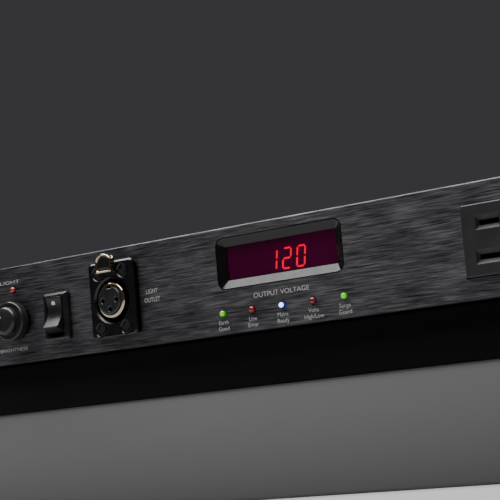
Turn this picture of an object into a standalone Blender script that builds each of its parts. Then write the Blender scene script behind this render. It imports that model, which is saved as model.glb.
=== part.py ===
"""A 19-inch, one-unit rack power conditioner, modelled piece by piece.

X runs to the right as seen from the front, Y runs from the front panel into the rack and Z is up.
The origin is the middle of the footprint, on the surface that the unit stands on.
Depths are first written as a distance behind the panel's front face, and then placed by behind_face().
"""

import math

import bmesh
import bpy
from mathutils import Matrix, Vector

MM = 0.001
GAP = 0.25 * MM  # clearance between neighbouring pieces

# Front panel: a one-unit rack panel
PANEL_WIDTH = 482.6 * MM
PANEL_HEIGHT = 43.66 * MM
PANEL_THICK = 3.5 * MM
PANEL_CHAMFER = 0.5 * MM
RACK_PITCH_X = 465.1 * MM
RACK_PITCH_Z = 31.75 * MM
RACK_SLOT_LENGTH = 10.5 * MM
RACK_SLOT_HEIGHT = 6.8 * MM

# Case behind the panel
CASE_DEPTH = 200 * MM
SHEET = 1.2 * MM
TRAY_HALF = 214.8 * MM
TRAY_HEIGHT = 41.9 * MM
FRONT_WINDOW_HALF = 200 * MM
COVER_HALF = TRAY_HALF + GAP + SHEET
BEND = 1.7 * MM  # outer radius of the sheet's folds
COVER_TOP = TRAY_HEIGHT + GAP + SHEET
COVER_LIP_BOTTOM = 29 * MM
TRAY_FRONT = PANEL_THICK + GAP
REAR_FACE = TRAY_FRONT + CASE_DEPTH
REAR_INNER = REAR_FACE - SHEET
COVER_SCREW_DEPTHS = (38 * MM, 168 * MM)
COVER_SCREW_Z = 35 * MM
SCREW_RADIUS = 1.5 * MM
SCREW_HOLE_RADIUS = 1.8 * MM
VENT_SIZE = (3 * MM, 26 * MM)
VENT_PITCH = 7 * MM
VENTS_IN_ROW = 12
VENT_ROWS = ((-110 * MM, 70 * MM), (80 * MM, 100 * MM))  # each row's middle, X and depth

# How far the unit reaches in front of the panel's face and behind the rear wall
KNOB_REACH = 8 * MM
BREAKER_REACH = 9 * MM
FACE_Y = -(REAR_FACE + BREAKER_REACH - KNOB_REACH) / 2

# Voltage display
DISPLAY_Z = 28.8 * MM
BEZEL_SIZE = (62.2 * MM, 21 * MM)
BEZEL_RADIUS = 3.4 * MM
WINDOW_SIZE = (54.7 * MM, 14 * MM)
WINDOW_RADIUS = 0.35 * MM
WINDOW_DEPTH = 1.9 * MM
LENS_SIZE = (58 * MM, 16.8 * MM)
LENS_FRONT = 2.55 * MM
LENS_THICK = 1.6 * MM
DIGIT_BLOCK = (22.6 * MM, 6.2 * MM, 13.4 * MM)
DIGIT_FRONT = 5.6 * MM
BOARD_FRONT = 12 * MM
BOARD_THICK = 1.6 * MM
BOARD_STUD_X = 35.8 * MM
BOARD_STUD_Z = (12 * MM, 34 * MM)
BOARD_STUD_RADIUS = 2 * MM

# Indicator lamps
LED_RADIUS = 1.5 * MM
LED_DOME = 1.6 * MM
LED_PITCH = 15 * MM
STATUS_LED_Z = 8.5 * MM
STATUS_LED_COUNT = 5
INDICATOR_LED = (-147.8 * MM, 33 * MM)

# Rocker switch
ROCKER_AT = (-121.7 * MM, 18 * MM)
ROCKER_BEZEL = (14.6 * MM, 21.2 * MM)
ROCKER_BODY = (12.6 * MM, 18.8 * MM)
ROCKER_MOUTH = (9.4 * MM, 17.6 * MM)
ROCKER_PROUD = 2 * MM
ROCKER_CHAMFER = 1.1 * MM
ROCKER_MOUTH_CHAMFER = 0.4 * MM
ROCKER_MOUTH_DEPTH = 9 * MM
ROCKER_BODY_DEPTH = 16 * MM
ROCKER_PIVOT_DEPTH = 2.5 * MM
ROCKER_WIDTH = 8.6 * MM
ROCKER_THROW = 28.0  # degrees between its two positions

# Lamp dimmer
DIMMER_AT = (-148 * MM, 18.8 * MM)
SKIRT_RADIUS = 8.8 * MM
SKIRT_FRONT = -4.6 * MM
SKIRT_BACK = -0.6 * MM
GRIP_RADIUS = 6.4 * MM
KNOB_HOLLOW = (7.4 * MM, -3.2 * MM)  # radius and floor of the recess behind the skirt
SHAFT_RADIUS = 3 * MM
SHAFT_END = 9.5 * MM

# Lamp socket
SOCKET_X = -87.6 * MM
SOCKET_Z = 21 * MM
FLANGE_SIZE = (25.4 * MM, 32.6 * MM)
FLANGE_Z = 21.7 * MM
FLANGE_PROUD = 2.5 * MM
FLANGE_CHAMFER = 0.8 * MM
SOCKET_BORE = 9.3 * MM
BARREL_RADIUS = 11.2 * MM
BARREL_END = 20 * MM
BORE_END = 12 * MM
RING_RADIUS = 7.7 * MM
RING_WALL = 0.8 * MM
RING_FRONT = -3.3 * MM
INSERT_FRONT = -4.2 * MM
PIN_CIRCLE = 3.81 * MM
SOCKET_SCREW = (7.1 * MM, 12.2 * MM)  # half spacing across and up
LATCH_WIDTH = 8.9 * MM
LATCH_BOTTOM = 32.7 * MM
LATCH_TOP = 41 * MM
LATCH_ARCH = 3.4 * MM  # how far the rounded top falls from its middle to its sides
LATCH_TRAVEL = 1.2 * MM
LATCH_THICK = 3 * MM
LATCH_STEM_HALF = 2.6 * MM
LATCH_STEM = (33.3 * MM, 35.9 * MM)  # bottom and top
LATCH_STEM_END = 8 * MM

# Mains outlets (NEMA 5-15)
OUTLET_FACE = (34 * MM, 27.1 * MM)
OUTLET_BODY = (36.4 * MM, 30 * MM)
OUTLET_PROUD = 1.2 * MM
OUTLET_SEAM = 0.4 * MM
OUTLET_DEPTH = 18 * MM
BLADE_SPACING = 12.7 * MM
BLADE_TO_EARTH = 11.9 * MM
BLADE_LINE_X = -5.85 * MM
HOT_SLOT = 8.1 * MM
NEUTRAL_SLOT = 10 * MM
SLOT_HEIGHT = 1.9 * MM
SLOT_FLARE = (1 * MM, 1.75 * MM)  # at the ends and along the sides
SLOT_DEPTH = 14 * MM
FLARE_DEPTH = 0.4 * MM
EARTH_HOLE_RADIUS = 2.75 * MM
FRONT_OUTLET_X = 102.2 * MM
OUTLET_Z = 21.7 * MM
REAR_OUTLET_COUNT = 8
REAR_OUTLET_PITCH = 37 * MM
REAR_OUTLET_FIRST_X = -190 * MM

# Mains inlet (IEC C14) and resettable breaker on the rear wall
INLET_X = 168 * MM
INLET_FLANGE = (50 * MM, 24 * MM)
INLET_BODY = (27 * MM, 19.6 * MM)
INLET_CAVITY = (24.6 * MM, 16.8 * MM)
INLET_PROUD = 2.6 * MM
INLET_DEPTH = 20 * MM
INLET_FLOOR = 14.5 * MM
INLET_PIN = (2 * MM, 4 * MM)
INLET_SCREW_SPACING = 40 * MM
BREAKER_X = 114 * MM
BREAKER_BUSH = 5 * MM
BREAKER_BUTTON_RADIUS = 3.1 * MM
BREAKER_TRAVEL = 3 * MM
REAR_ROW_Z = 21.7 * MM

# Circuit board and what stands on it
MAIN_BOARD = (190 * MM, 116 * MM, 1.6 * MM)
MAIN_BOARD_AT = (45 * MM, 92 * MM)  # middle, X and depth
MAIN_BOARD_Z = 6 * MM
BOARD_TOP = MAIN_BOARD_Z + MAIN_BOARD[2] + GAP


def behind_face(depth):
    """The Y of a plane this far behind the panel's front face."""
    return FACE_Y + depth


def clear_scene():
    for obj in list(bpy.data.objects):
        bpy.data.objects.remove(obj)


def material(name, colour, roughness, metallic=0.0):
    made = bpy.data.materials.new(name)
    made.use_nodes = True
    shader = made.node_tree.nodes["Principled BSDF"]
    shader.inputs["Base Color"].default_value = (*colour, 1)
    shader.inputs["Roughness"].default_value = roughness
    shader.inputs["Metallic"].default_value = metallic
    return made


def add_object(name, mesh, finish=None, matrix=None):
    """Links a mesh as a named object, placed by a matrix, with round stretches shaded smooth."""
    obj = bpy.data.objects.new(name, mesh)
    bpy.context.scene.collection.objects.link(obj)
    if matrix is not None:
        obj.matrix_world = matrix
    if finish is not None and not mesh.materials:
        mesh.materials.append(finish)
    mesh.shade_smooth()
    mesh.set_sharp_from_angle(angle=math.radians(35))
    return obj


def mesh_of(name, bm):
    bmesh.ops.recalc_face_normals(bm, faces=bm.faces)
    mesh = bpy.data.meshes.new(name)
    bm.to_mesh(mesh)
    bm.free()
    return mesh


def add_box(bm, low, high):
    """Adds a box between two corners and returns its vertices."""
    low, high = Vector(low), Vector(high)
    size = high - low
    place = Matrix.Translation((low + high) / 2) @ Matrix.Diagonal((*size, 1))
    return bmesh.ops.create_cube(bm, size=1, matrix=place)["verts"]


def add_peg(bm, middle, radius, length, turned_about):
    """Adds an eight-sided peg along Z, or along X if it's turned about Y."""
    place = Matrix.Translation(middle)
    if turned_about == "Y":
        place @= Matrix.Rotation(math.pi / 2, 4, "Y")
    bmesh.ops.create_cone(
        bm, segments=8, radius1=radius, radius2=radius, depth=length, cap_ends=True, matrix=place
    )


def rounded_loop(width, height, radius, depth, centre=(0, 0), steps=4):
    """Points round a rectangle in the XZ plane, with each corner an arc of that many steps."""
    points = []
    for turn, (sx, sz) in enumerate(((1, 1), (-1, 1), (-1, -1), (1, -1))):
        cx = centre[0] + sx * (width / 2 - radius)
        cz = centre[1] + sz * (height / 2 - radius)
        for step in range(steps + 1):
            angle = math.radians(90 * turn + 90 * step / steps)
            points.append((cx + radius * math.cos(angle), depth, cz + radius * math.sin(angle)))
    return points


def square_loop(width, height, depth, centre=(0, 0)):
    """The four corners of a rectangle in the XZ plane."""
    corners = ((1, 1), (-1, 1), (-1, -1), (1, -1))
    return [(centre[0] + sx * width / 2, depth, centre[1] + sz * height / 2) for sx, sz in corners]


def circle_loop(radius, depth, sides=16, centre=(0, 0)):
    """A regular polygon's corners in the XZ plane."""
    angles = [2 * math.pi * (k + 0.5) / sides for k in range(sides)]
    return [(centre[0] + radius * math.cos(a), depth, centre[1] + radius * math.sin(a)) for a in angles]


def loft(bm, loops, closed=False):
    """Skins loops of equal length. The ends are capped, or joined to each other when closed."""
    rings = [[bm.verts.new(p) for p in loop] for loop in loops]
    pairs = list(zip(rings, rings[1:]))
    if closed:
        pairs.append((rings[-1], rings[0]))
    for a, b in pairs:
        for k in range(len(a)):
            j = (k + 1) % len(a)
            bm.faces.new((a[k], a[j], b[j], b[k]))
    if not closed:
        bm.faces.new(rings[0])
        bm.faces.new(rings[-1])


def turned(profile, sides=16):
    """A solid of revolution about Y from (radius, depth) points that run from axis to axis."""
    bm = bmesh.new()
    rings = []
    for radius, depth in profile:
        if radius == 0:
            rings.append([bm.verts.new((0, depth, 0))])
        else:
            rings.append([bm.verts.new(p) for p in circle_loop(radius, depth, sides)])
    for a, b in zip(rings, rings[1:]):
        for k in range(sides):
            j = (k + 1) % sides
            corners = [a[k % len(a)], a[j % len(a)], b[j % len(b)], b[k % len(b)]]
            bm.faces.new(list(dict.fromkeys(corners)))
    return bm


def lofted(name, loops, finish, matrix=None, closed=False):
    bm = bmesh.new()
    loft(bm, loops, closed)
    return add_object(name, mesh_of(name, bm), finish, matrix)


def boxed(name, low, high, finish, bevel=0.0):
    """A box piece, with its edges bevelled if a width is given."""
    bm = bmesh.new()
    add_box(bm, low, high)
    if bevel:
        bmesh.ops.bevel(bm, geom=bm.edges[:], offset=bevel, segments=1, affect="EDGES")
    return add_object(name, mesh_of(name, bm), finish)


def cutter(name, bm):
    """A helper that only cuts: hidden from renders and drawn as wire."""
    obj = add_object(name, mesh_of(name, bm))
    obj.hide_render = True
    obj.display_type = "WIRE"
    return obj


def boolean(obj, other, operation="DIFFERENCE"):
    modifier = obj.modifiers.new(other.name, "BOOLEAN")
    modifier.operation = operation
    modifier.object = other
    modifier.solver = "EXACT"


def applied_mesh(obj, name):
    """The object's mesh with its modifiers applied. The object itself is removed."""
    bpy.context.view_layer.update()
    graph = bpy.context.evaluated_depsgraph_get()
    mesh = bpy.data.meshes.new_from_object(obj.evaluated_get(graph))
    mesh.name = name
    bpy.data.objects.remove(obj)
    return mesh


def at(x, depth, z):
    return Matrix.Translation((x, behind_face(depth), z))


def facing_rear(x, z):
    """Places a piece, modelled against a panel at depth 0 and facing -Y, on the rear wall facing +Y."""
    return at(x, REAR_FACE, z) @ Matrix.Rotation(math.pi, 4, "Z")


def rear_outlet_x(index):
    return REAR_OUTLET_FIRST_X + index * REAR_OUTLET_PITCH


# Enclosure


def front_panel(finish):
    bm = bmesh.new()
    half = PANEL_WIDTH / 2
    add_box(bm, (-half, 0, 0), (half, PANEL_THICK, PANEL_HEIGHT))
    front_edges = [e for e in bm.edges if all(v.co.y < PANEL_THICK / 2 for v in e.verts)]
    bmesh.ops.bevel(bm, geom=front_edges, offset=PANEL_CHAMFER, segments=1, affect="EDGES")
    panel = add_object("front_panel", mesh_of("front_panel", bm), finish, at(0, 0, 0))

    bm = bmesh.new()
    before, after = -5 * MM, PANEL_THICK + 5 * MM

    def hole(loop):
        loft(bm, [loop(before), loop(after)])

    for sx in (-1, 1):
        for sz in (-1, 1):
            centre = (sx * RACK_PITCH_X / 2, PANEL_HEIGHT / 2 + sz * RACK_PITCH_Z / 2)
            radius = RACK_SLOT_HEIGHT / 2 - 0.01 * MM
            hole(lambda y: rounded_loop(RACK_SLOT_LENGTH, RACK_SLOT_HEIGHT, radius, y, centre, 5))
    hole(
        lambda y: rounded_loop(
            BEZEL_SIZE[0] + 2 * GAP, BEZEL_SIZE[1] + 2 * GAP, BEZEL_RADIUS + GAP, y, (0, DISPLAY_Z)
        )
    )
    hole(lambda y: square_loop(ROCKER_BODY[0] + 2 * GAP, ROCKER_BODY[1] + 2 * GAP, y, ROCKER_AT))
    outlet_hole = [side + 2 * OUTLET_SEAM for side in OUTLET_FACE]
    hole(lambda y: square_loop(*outlet_hole, y, (FRONT_OUTLET_X, OUTLET_Z)))
    hole(lambda y: circle_loop(4.5 * MM, y, 16, DIMMER_AT))
    hole(lambda y: circle_loop(LED_RADIUS + GAP, y, 12, INDICATOR_LED))
    for k in range(STATUS_LED_COUNT):
        centre = (LED_PITCH * (k - 2), STATUS_LED_Z)
        hole(lambda y: circle_loop(LED_RADIUS + GAP, y, 12, centre))
    hole(lambda y: circle_loop(BARREL_RADIUS + GAP, y, 32, (SOCKET_X, SOCKET_Z)))
    for sx in (-1, 1):
        for sz in (-1, 1):
            centre = (SOCKET_X + sx * SOCKET_SCREW[0], SOCKET_Z + sz * SOCKET_SCREW[1])
            hole(lambda y: circle_loop(SCREW_HOLE_RADIUS, y, 8, centre))
    holes = cutter("panel_holes", bm)
    holes.matrix_world = at(0, 0, 0)
    boolean(panel, holes)

    # The latch stem's opening meets the socket's round hole, so it is a cut of its own.
    bm = bmesh.new()
    add_box(
        bm,
        (SOCKET_X - LATCH_STEM_HALF - 1 * MM, before, SOCKET_Z + SOCKET_BORE),
        (SOCKET_X + LATCH_STEM_HALF + 1 * MM, after, LATCH_STEM[1] + 1 * MM),
    )
    notch = cutter("latch_notch", bm)
    notch.matrix_world = at(0, 0, 0)
    boolean(panel, notch)

    bm = bmesh.new()
    for x in (-BOARD_STUD_X, BOARD_STUD_X):
        for z in BOARD_STUD_Z:
            ends = (PANEL_THICK / 2, BOARD_FRONT - GAP)
            loft(bm, [circle_loop(BOARD_STUD_RADIUS, y, 8, (x, z)) for y in ends])
    studs = cutter("panel_studs", bm)
    studs.matrix_world = at(0, 0, 0)
    boolean(panel, studs, "UNION")


def fold_floor_edges(bm, radius):
    """Rounds the edges of a box's lowest face, as folded sheet has them."""
    lowest = min(vert.co.z for vert in bm.verts)
    edges = [e for e in bm.edges if all(v.co.z < lowest + 0.1 * MM for v in e.verts)]
    bmesh.ops.bevel(bm, geom=edges, offset=radius, segments=2, profile=0.5, affect="EDGES")


def chassis_tray(finish):
    bm = bmesh.new()
    add_box(bm, (-TRAY_HALF, TRAY_FRONT, 0), (TRAY_HALF, REAR_FACE, TRAY_HEIGHT))
    fold_floor_edges(bm, BEND)
    tray = add_object("chassis_tray", mesh_of("chassis_tray", bm), finish, at(0, 0, 0))
    above = TRAY_HEIGHT + 10 * MM

    bm = bmesh.new()
    inner = TRAY_HALF - SHEET
    add_box(bm, (-inner, TRAY_FRONT + SHEET, SHEET), (inner, REAR_INNER, above))
    fold_floor_edges(bm, BEND - SHEET)
    inside = cutter("tray_inside", bm)
    inside.matrix_world = at(0, 0, 0)
    boolean(tray, inside)

    bm = bmesh.new()
    add_box(
        bm,
        (-FRONT_WINDOW_HALF, TRAY_FRONT - 5 * MM, SHEET),
        (FRONT_WINDOW_HALF, TRAY_FRONT + 5 * MM, above),
    )
    window = cutter("tray_front_window", bm)
    window.matrix_world = at(0, 0, 0)
    boolean(tray, window)

    bm = bmesh.new()
    before, after = REAR_INNER - 5 * MM, REAR_FACE + 5 * MM
    for k in range(REAR_OUTLET_COUNT):
        width, height = (side + 2 * OUTLET_SEAM for side in OUTLET_FACE)
        centre = (rear_outlet_x(k), OUTLET_Z)
        loft(bm, [square_loop(width, height, before, centre), square_loop(width, height, after, centre)])
    width, height = (side + 2 * GAP for side in INLET_BODY)
    inlet = (INLET_X, REAR_ROW_Z)
    loft(bm, [square_loop(width, height, before, inlet), square_loop(width, height, after, inlet)])
    radius = BREAKER_BUSH + 2 * GAP
    breaker = (BREAKER_X, REAR_ROW_Z)
    loft(bm, [circle_loop(radius, before, 16, breaker), circle_loop(radius, after, 16, breaker)])
    for side in (-1, 1):
        screw = (INLET_X + side * INLET_SCREW_SPACING / 2, REAR_ROW_Z)
        loft(bm, [circle_loop(SCREW_HOLE_RADIUS, y, 8, screw) for y in (before, after)])
    rear_holes = cutter("tray_rear_holes", bm)
    rear_holes.matrix_world = at(0, 0, 0)
    boolean(tray, rear_holes)

    bm = bmesh.new()
    for side in (-1, 1):
        for depth in COVER_SCREW_DEPTHS:
            add_peg(bm, (side * TRAY_HALF, depth, COVER_SCREW_Z), SCREW_HOLE_RADIUS, 6 * MM, "Y")
    side_holes = cutter("tray_side_holes", bm)
    side_holes.matrix_world = at(0, 0, 0)
    boolean(tray, side_holes)

    bm = bmesh.new()
    length = MAIN_BOARD_Z - GAP - SHEET / 2
    inset = 6 * MM
    for sx in (-1, 1):
        for sy in (-1, 1):
            x = MAIN_BOARD_AT[0] + sx * (MAIN_BOARD[0] / 2 - inset)
            y = MAIN_BOARD_AT[1] + sy * (MAIN_BOARD[1] / 2 - inset)
            add_peg(bm, (x, y, SHEET / 2 + length / 2), 3 * MM, length, "Z")
    standoffs = cutter("tray_standoffs", bm)
    standoffs.matrix_world = at(0, 0, 0)
    boolean(tray, standoffs, "UNION")


def top_cover(finish):
    """An inverted U of sheet, with two rows of vent slots and a screw hole near each end of its lips."""
    outer, inner = COVER_HALF, COVER_HALF - SHEET

    def fold(side, radius):
        """An arc from the side up to the top, round the fold's centre."""
        angles = [math.radians(90 * step / 3) for step in range(4)]
        x, z = COVER_HALF - BEND, COVER_TOP - BEND
        return [(side * (x + radius * math.cos(a)), z + radius * math.sin(a)) for a in angles]

    section = [(-outer, COVER_LIP_BOTTOM)]
    section += fold(-1, BEND) + fold(1, BEND)[::-1]
    section += [(outer, COVER_LIP_BOTTOM), (inner, COVER_LIP_BOTTOM)]
    section += fold(1, BEND - SHEET) + fold(-1, BEND - SHEET)[::-1]
    section += [(-inner, COVER_LIP_BOTTOM)]
    front = [(x, TRAY_FRONT, z) for x, z in section]
    rear = [(x, REAR_FACE, z) for x, z in section]
    cover = lofted("top_cover", [front, rear], finish, at(0, 0, 0))

    bm = bmesh.new()
    for row_x, row_depth in VENT_ROWS:
        for k in range(VENTS_IN_ROW):
            x = row_x + (k - (VENTS_IN_ROW - 1) / 2) * VENT_PITCH
            add_box(
                bm,
                (x - VENT_SIZE[0] / 2, row_depth - VENT_SIZE[1] / 2, COVER_TOP - 5 * MM),
                (x + VENT_SIZE[0] / 2, row_depth + VENT_SIZE[1] / 2, COVER_TOP + 5 * MM),
            )
    for side in (-1, 1):
        for depth in COVER_SCREW_DEPTHS:
            add_peg(bm, (side * COVER_HALF, depth, COVER_SCREW_Z), SCREW_HOLE_RADIUS, 8 * MM, "Y")
    openings = cutter("cover_openings", bm)
    openings.matrix_world = at(0, 0, 0)
    boolean(cover, openings)


def pan_screw(length):
    """A pan-head screw along Y, its head's underside at depth 0 and facing -Y."""
    profile = [
        (0, -1.7 * MM),
        (1.6 * MM, -1.6 * MM),
        (2.6 * MM, -1.1 * MM),
        (2.9 * MM, 0),
        (SCREW_RADIUS, 0),
        (SCREW_RADIUS, length),
        (0, length),
    ]
    return turned(profile, 12)


def cover_screws(finish):
    mesh = mesh_of("pan_screw", pan_screw(5 * MM))
    number = 0
    for side in (-1, 1):
        for depth in COVER_SCREW_DEPTHS:
            number += 1
            place = at(side * (COVER_HALF + GAP), depth, COVER_SCREW_Z)
            turn = Matrix.Rotation(side * math.pi / 2, 4, "Z")
            add_object(f"cover_screw_{number}", mesh, finish, place @ turn)


# Display


def display(bezel_finish, lens_finish, block_finish, board_finish):
    flange_front = PANEL_THICK + GAP
    outer, window = (*BEZEL_SIZE, BEZEL_RADIUS), (*WINDOW_SIZE, WINDOW_RADIUS)
    flange = (66 * MM, 22.6 * MM, 3.6 * MM)
    pocket = (LENS_SIZE[0] + 0.6 * MM, LENS_SIZE[1] + 0.6 * MM, 0.6 * MM)
    lip_back = LENS_FRONT - GAP
    shape = (
        (outer, 0.05 * MM),
        (outer, flange_front),
        (flange, flange_front),
        (flange, 6.5 * MM),
        (pocket, 6.5 * MM),
        (pocket, lip_back),
        (window, lip_back),
        (window, WINDOW_DEPTH),
    )
    loops = [rounded_loop(*size, depth) for size, depth in shape]
    lofted("display_bezel", loops, bezel_finish, at(0, 0, DISPLAY_Z), closed=True)

    lens = [rounded_loop(*LENS_SIZE, 0.4 * MM, y, steps=2) for y in (LENS_FRONT, LENS_FRONT + LENS_THICK)]
    lofted("display_lens", lens, lens_finish, at(0, 0, DISPLAY_Z))

    width, deep, height = DIGIT_BLOCK
    front = behind_face(DIGIT_FRONT)
    boxed(
        "digit_block",
        (-width / 2, front, DISPLAY_Z - height / 2),
        (width / 2, front + deep, DISPLAY_Z + height / 2),
        block_finish,
    )
    board = behind_face(BOARD_FRONT)
    boxed("display_board", (-38 * MM, board, 3.5 * MM), (38 * MM, board + BOARD_THICK, 40 * MM), board_finish)


def led_mesh():
    """A domed lamp with a collar behind the panel and a spacer that reaches the board."""
    r, dome = LED_RADIUS, LED_DOME
    collar = PANEL_THICK + GAP
    profile = [
        (0, -dome),
        (r * 0.5, -dome * 0.9),
        (r * 0.87, -dome * 0.55),
        (r, 0),
        (r, collar),
        (r + 0.6 * MM, collar),
        (r + 0.6 * MM, collar + 1 * MM),
        (r, collar + 1 * MM),
        (r, BOARD_FRONT - GAP),
        (0, BOARD_FRONT - GAP),
    ]
    return mesh_of("led", turned(profile, 12))


def indicator_lamps(finish):
    mesh = led_mesh()
    for k in range(STATUS_LED_COUNT):
        place = at(LED_PITCH * (k - 2), 0, STATUS_LED_Z)
        add_object(f"status_led_{k + 1}", mesh, finish, place)
    add_object("indicator_led", mesh, finish, at(INDICATOR_LED[0], 0, INDICATOR_LED[1]))


# Rocker switch


def rocker_switch(housing_finish, rocker_finish):
    mouth_front = [side + 2 * ROCKER_MOUTH_CHAMFER for side in ROCKER_MOUTH]
    bezel_front = [side - 2 * ROCKER_CHAMFER for side in ROCKER_BEZEL]
    loops = [
        square_loop(*ROCKER_MOUTH, ROCKER_MOUTH_DEPTH),
        square_loop(*ROCKER_MOUTH, -ROCKER_PROUD + ROCKER_MOUTH_CHAMFER),
        square_loop(*mouth_front, -ROCKER_PROUD),
        square_loop(*bezel_front, -ROCKER_PROUD),
        square_loop(*ROCKER_BEZEL, -ROCKER_PROUD + ROCKER_CHAMFER),
        square_loop(*ROCKER_BEZEL, -GAP),
        square_loop(*ROCKER_BODY, -GAP),
        square_loop(*ROCKER_BODY, ROCKER_BODY_DEPTH),
    ]
    x, z = ROCKER_AT
    lofted("rocker_housing", loops, housing_finish, at(x, 0, z))

    # Half of the rocker's section, from the middle of its face out over the tip and round the back.
    tip_z, tip_y, valley_y = 6.8 * MM, -7.2 * MM, -4.9 * MM
    face = []
    for step in range(6):
        t = step / 5
        face.append((valley_y + (tip_y - valley_y) * t**1.8, tip_z * t))
    side = face + [(-6.9 * MM, 7.2 * MM), (-2.0 * MM, 8.1 * MM), (1.5 * MM, 7.0 * MM)]
    section = side[::-1] + [(y, -z) for y, z in side[1:]]
    ends = [[(x, y, z) for y, z in section] for x in (-ROCKER_WIDTH / 2, ROCKER_WIDTH / 2)]
    pivot = at(x, ROCKER_PIVOT_DEPTH, z) @ Matrix.Rotation(math.radians(-ROCKER_THROW / 2), 4, "X")
    lofted("power_rocker", ends, rocker_finish, pivot)


# Lamp dimmer


def dimmer(knob_finish, metal_finish, pot_finish):
    x, z = DIMMER_AT
    bore = SHAFT_RADIUS + GAP
    hollow_radius, hollow_floor = KNOB_HOLLOW
    bore_end = -KNOB_REACH + 1.7 * MM
    knob = [
        (0, -KNOB_REACH),
        (GRIP_RADIUS - 1.5 * MM, -KNOB_REACH),
        (GRIP_RADIUS - 0.4 * MM, -KNOB_REACH + 0.5 * MM),
        (GRIP_RADIUS, -KNOB_REACH + 1.6 * MM),
        (GRIP_RADIUS, SKIRT_FRONT),
        (SKIRT_RADIUS - 0.8 * MM, SKIRT_FRONT),
        (SKIRT_RADIUS, SKIRT_FRONT + 0.8 * MM),
        (SKIRT_RADIUS, SKIRT_BACK),
        (hollow_radius, SKIRT_BACK),
        (hollow_radius, hollow_floor),
        (bore, hollow_floor),
        (bore, bore_end),
        (0, bore_end),
    ]
    add_object("dimmer_knob", mesh_of("dimmer_knob", turned(knob, 24)), knob_finish, at(x, 0, z))
    tip = bore_end + GAP
    shaft = [(0, tip), (SHAFT_RADIUS, tip), (SHAFT_RADIUS, SHAFT_END), (0, SHAFT_END)]
    add_object("dimmer_shaft", mesh_of("dimmer_shaft", turned(shaft, 12)), metal_finish, at(x, 0, z))
    pot_floor = SHAFT_END + 2 * GAP
    pot = [
        (0, pot_floor),
        (bore + GAP, pot_floor),
        (bore + GAP, -2.6 * MM),
        (4.2 * MM, -2.6 * MM),
        (4.2 * MM, PANEL_THICK + GAP),
        (8.2 * MM, PANEL_THICK + GAP),
        (8.2 * MM, 12 * MM),
        (0, 12 * MM),
    ]
    add_object("dimmer_pot", mesh_of("dimmer_pot", turned(pot, 16)), pot_finish, at(x, 0, z))
    hex_nut("dimmer_nut", 5.4 * MM, 4.5 * MM, -2.3 * MM, -GAP, metal_finish, at(x, 0, z))


def hex_nut(name, corner_radius, bore, front, back, finish, matrix):
    """A hexagonal ring. Its round bore has a point for each corner and each flat's middle."""
    flat = corner_radius * math.cos(math.pi / 6)
    outline = []
    for k in range(12):
        reach = corner_radius if k % 2 == 0 else flat
        angle = math.pi * k / 6
        outline.append((reach * math.cos(angle), reach * math.sin(angle)))
    inside = [(bore * math.cos(math.pi * k / 6), bore * math.sin(math.pi * k / 6)) for k in range(12)]
    loops = [
        [(x, front, z) for x, z in outline],
        [(x, back, z) for x, z in outline],
        [(x, back, z) for x, z in inside],
        [(x, front, z) for x, z in inside],
    ]
    lofted(name, loops, finish, matrix, closed=True)


# Lamp socket


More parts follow.
